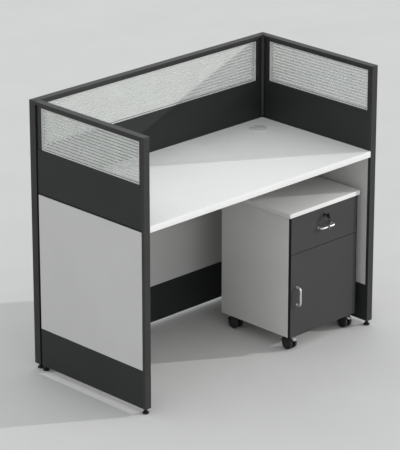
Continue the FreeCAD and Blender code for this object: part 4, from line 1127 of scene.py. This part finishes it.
# Lever steel: pressed and zinc-plated in a dull grey, rubbed by shoes.
lever_steel = grained(
    "dull_zinc_lever",
    ("#6c6d6f", "#808183"),
    roughness=0.42,
    grain=0.9,
    relief=0.02,
    cloud=8,
    Metallic=1,
)
for side in ("left", "right"):
    name = f"front_{side}_brake_lever"
    lever = merged_copy(name)
    soften(lever, LEVER_EDGE)
    finish_piece(lever, f"{name}_pressing", [lever_steel], f"front_{side}_brake", [name])


# Stage: a plain pale floor, one low lamp from the right and front, an even pale sky, and a camera to
# the left and front. It isn't part of the workstation.

FLOOR_COLOURS = ("#cacac8", "#cececc")
FLOOR_RADIUS = 60
LAMP_FROM = Vector((1, -0.64, 0.38)).normalized()
LAMP_STRENGTH = 1.9
LAMP_ANGLE = 0.9
SKY_COLOUR = "#f4f6f8"
SKY_STRENGTH = 0.95
CAMERA_LENS = 220
CAMERA_SENSOR = 36
CAMERA_PLACE = (-7.0579, -7.1764, 4.3318)
CAMERA_TILT = 69.222
CAMERA_TURN = -44.379

floor_shape = bmesh.new()
bmesh.ops.create_circle(floor_shape, cap_ends=True, segments=64, radius=FLOOR_RADIUS)
floor_mesh = bpy.data.meshes.new("floor")
floor_shape.to_mesh(floor_mesh)
floor_shape.free()
# Screed: trowelled and sealed, plain and matt.
screed = grained("sealed_screed", FLOOR_COLOURS, roughness=0.7, grain=3, relief=0.02, cloud=400)
floor_mesh.materials.append(screed)
floor = bpy.data.objects.new("floor", floor_mesh)
bpy.context.scene.collection.objects.link(floor)

lamp_light = bpy.data.lights.new("low_lamp", "SUN")
lamp_light.energy = LAMP_STRENGTH
lamp_light.angle = math.radians(LAMP_ANGLE)
lamp = bpy.data.objects.new("low_lamp", lamp_light)
lamp.rotation_euler = LAMP_FROM.to_track_quat("Z", "Y").to_euler()
bpy.context.scene.collection.objects.link(lamp)

world = bpy.data.worlds.new("pale_sky")
world.use_nodes = True
sky = world.node_tree.nodes["Background"]
sky.inputs["Color"].default_value = shade(SKY_COLOUR)
sky.inputs["Strength"].default_value = SKY_STRENGTH
bpy.context.scene.world = world
bpy.context.scene.view_settings.view_transform = "Standard"

view = bpy.data.cameras.new("camera")
view.sensor_fit = "VERTICAL"
view.sensor_height = CAMERA_SENSOR
view.lens = CAMERA_LENS
camera = bpy.data.objects.new("camera", view)
camera.location = CAMERA_PLACE
camera.rotation_euler = (math.radians(CAMERA_TILT), 0, math.radians(CAMERA_TURN))
bpy.context.scene.collection.objects.link(camera)
bpy.context.scene.camera = camera
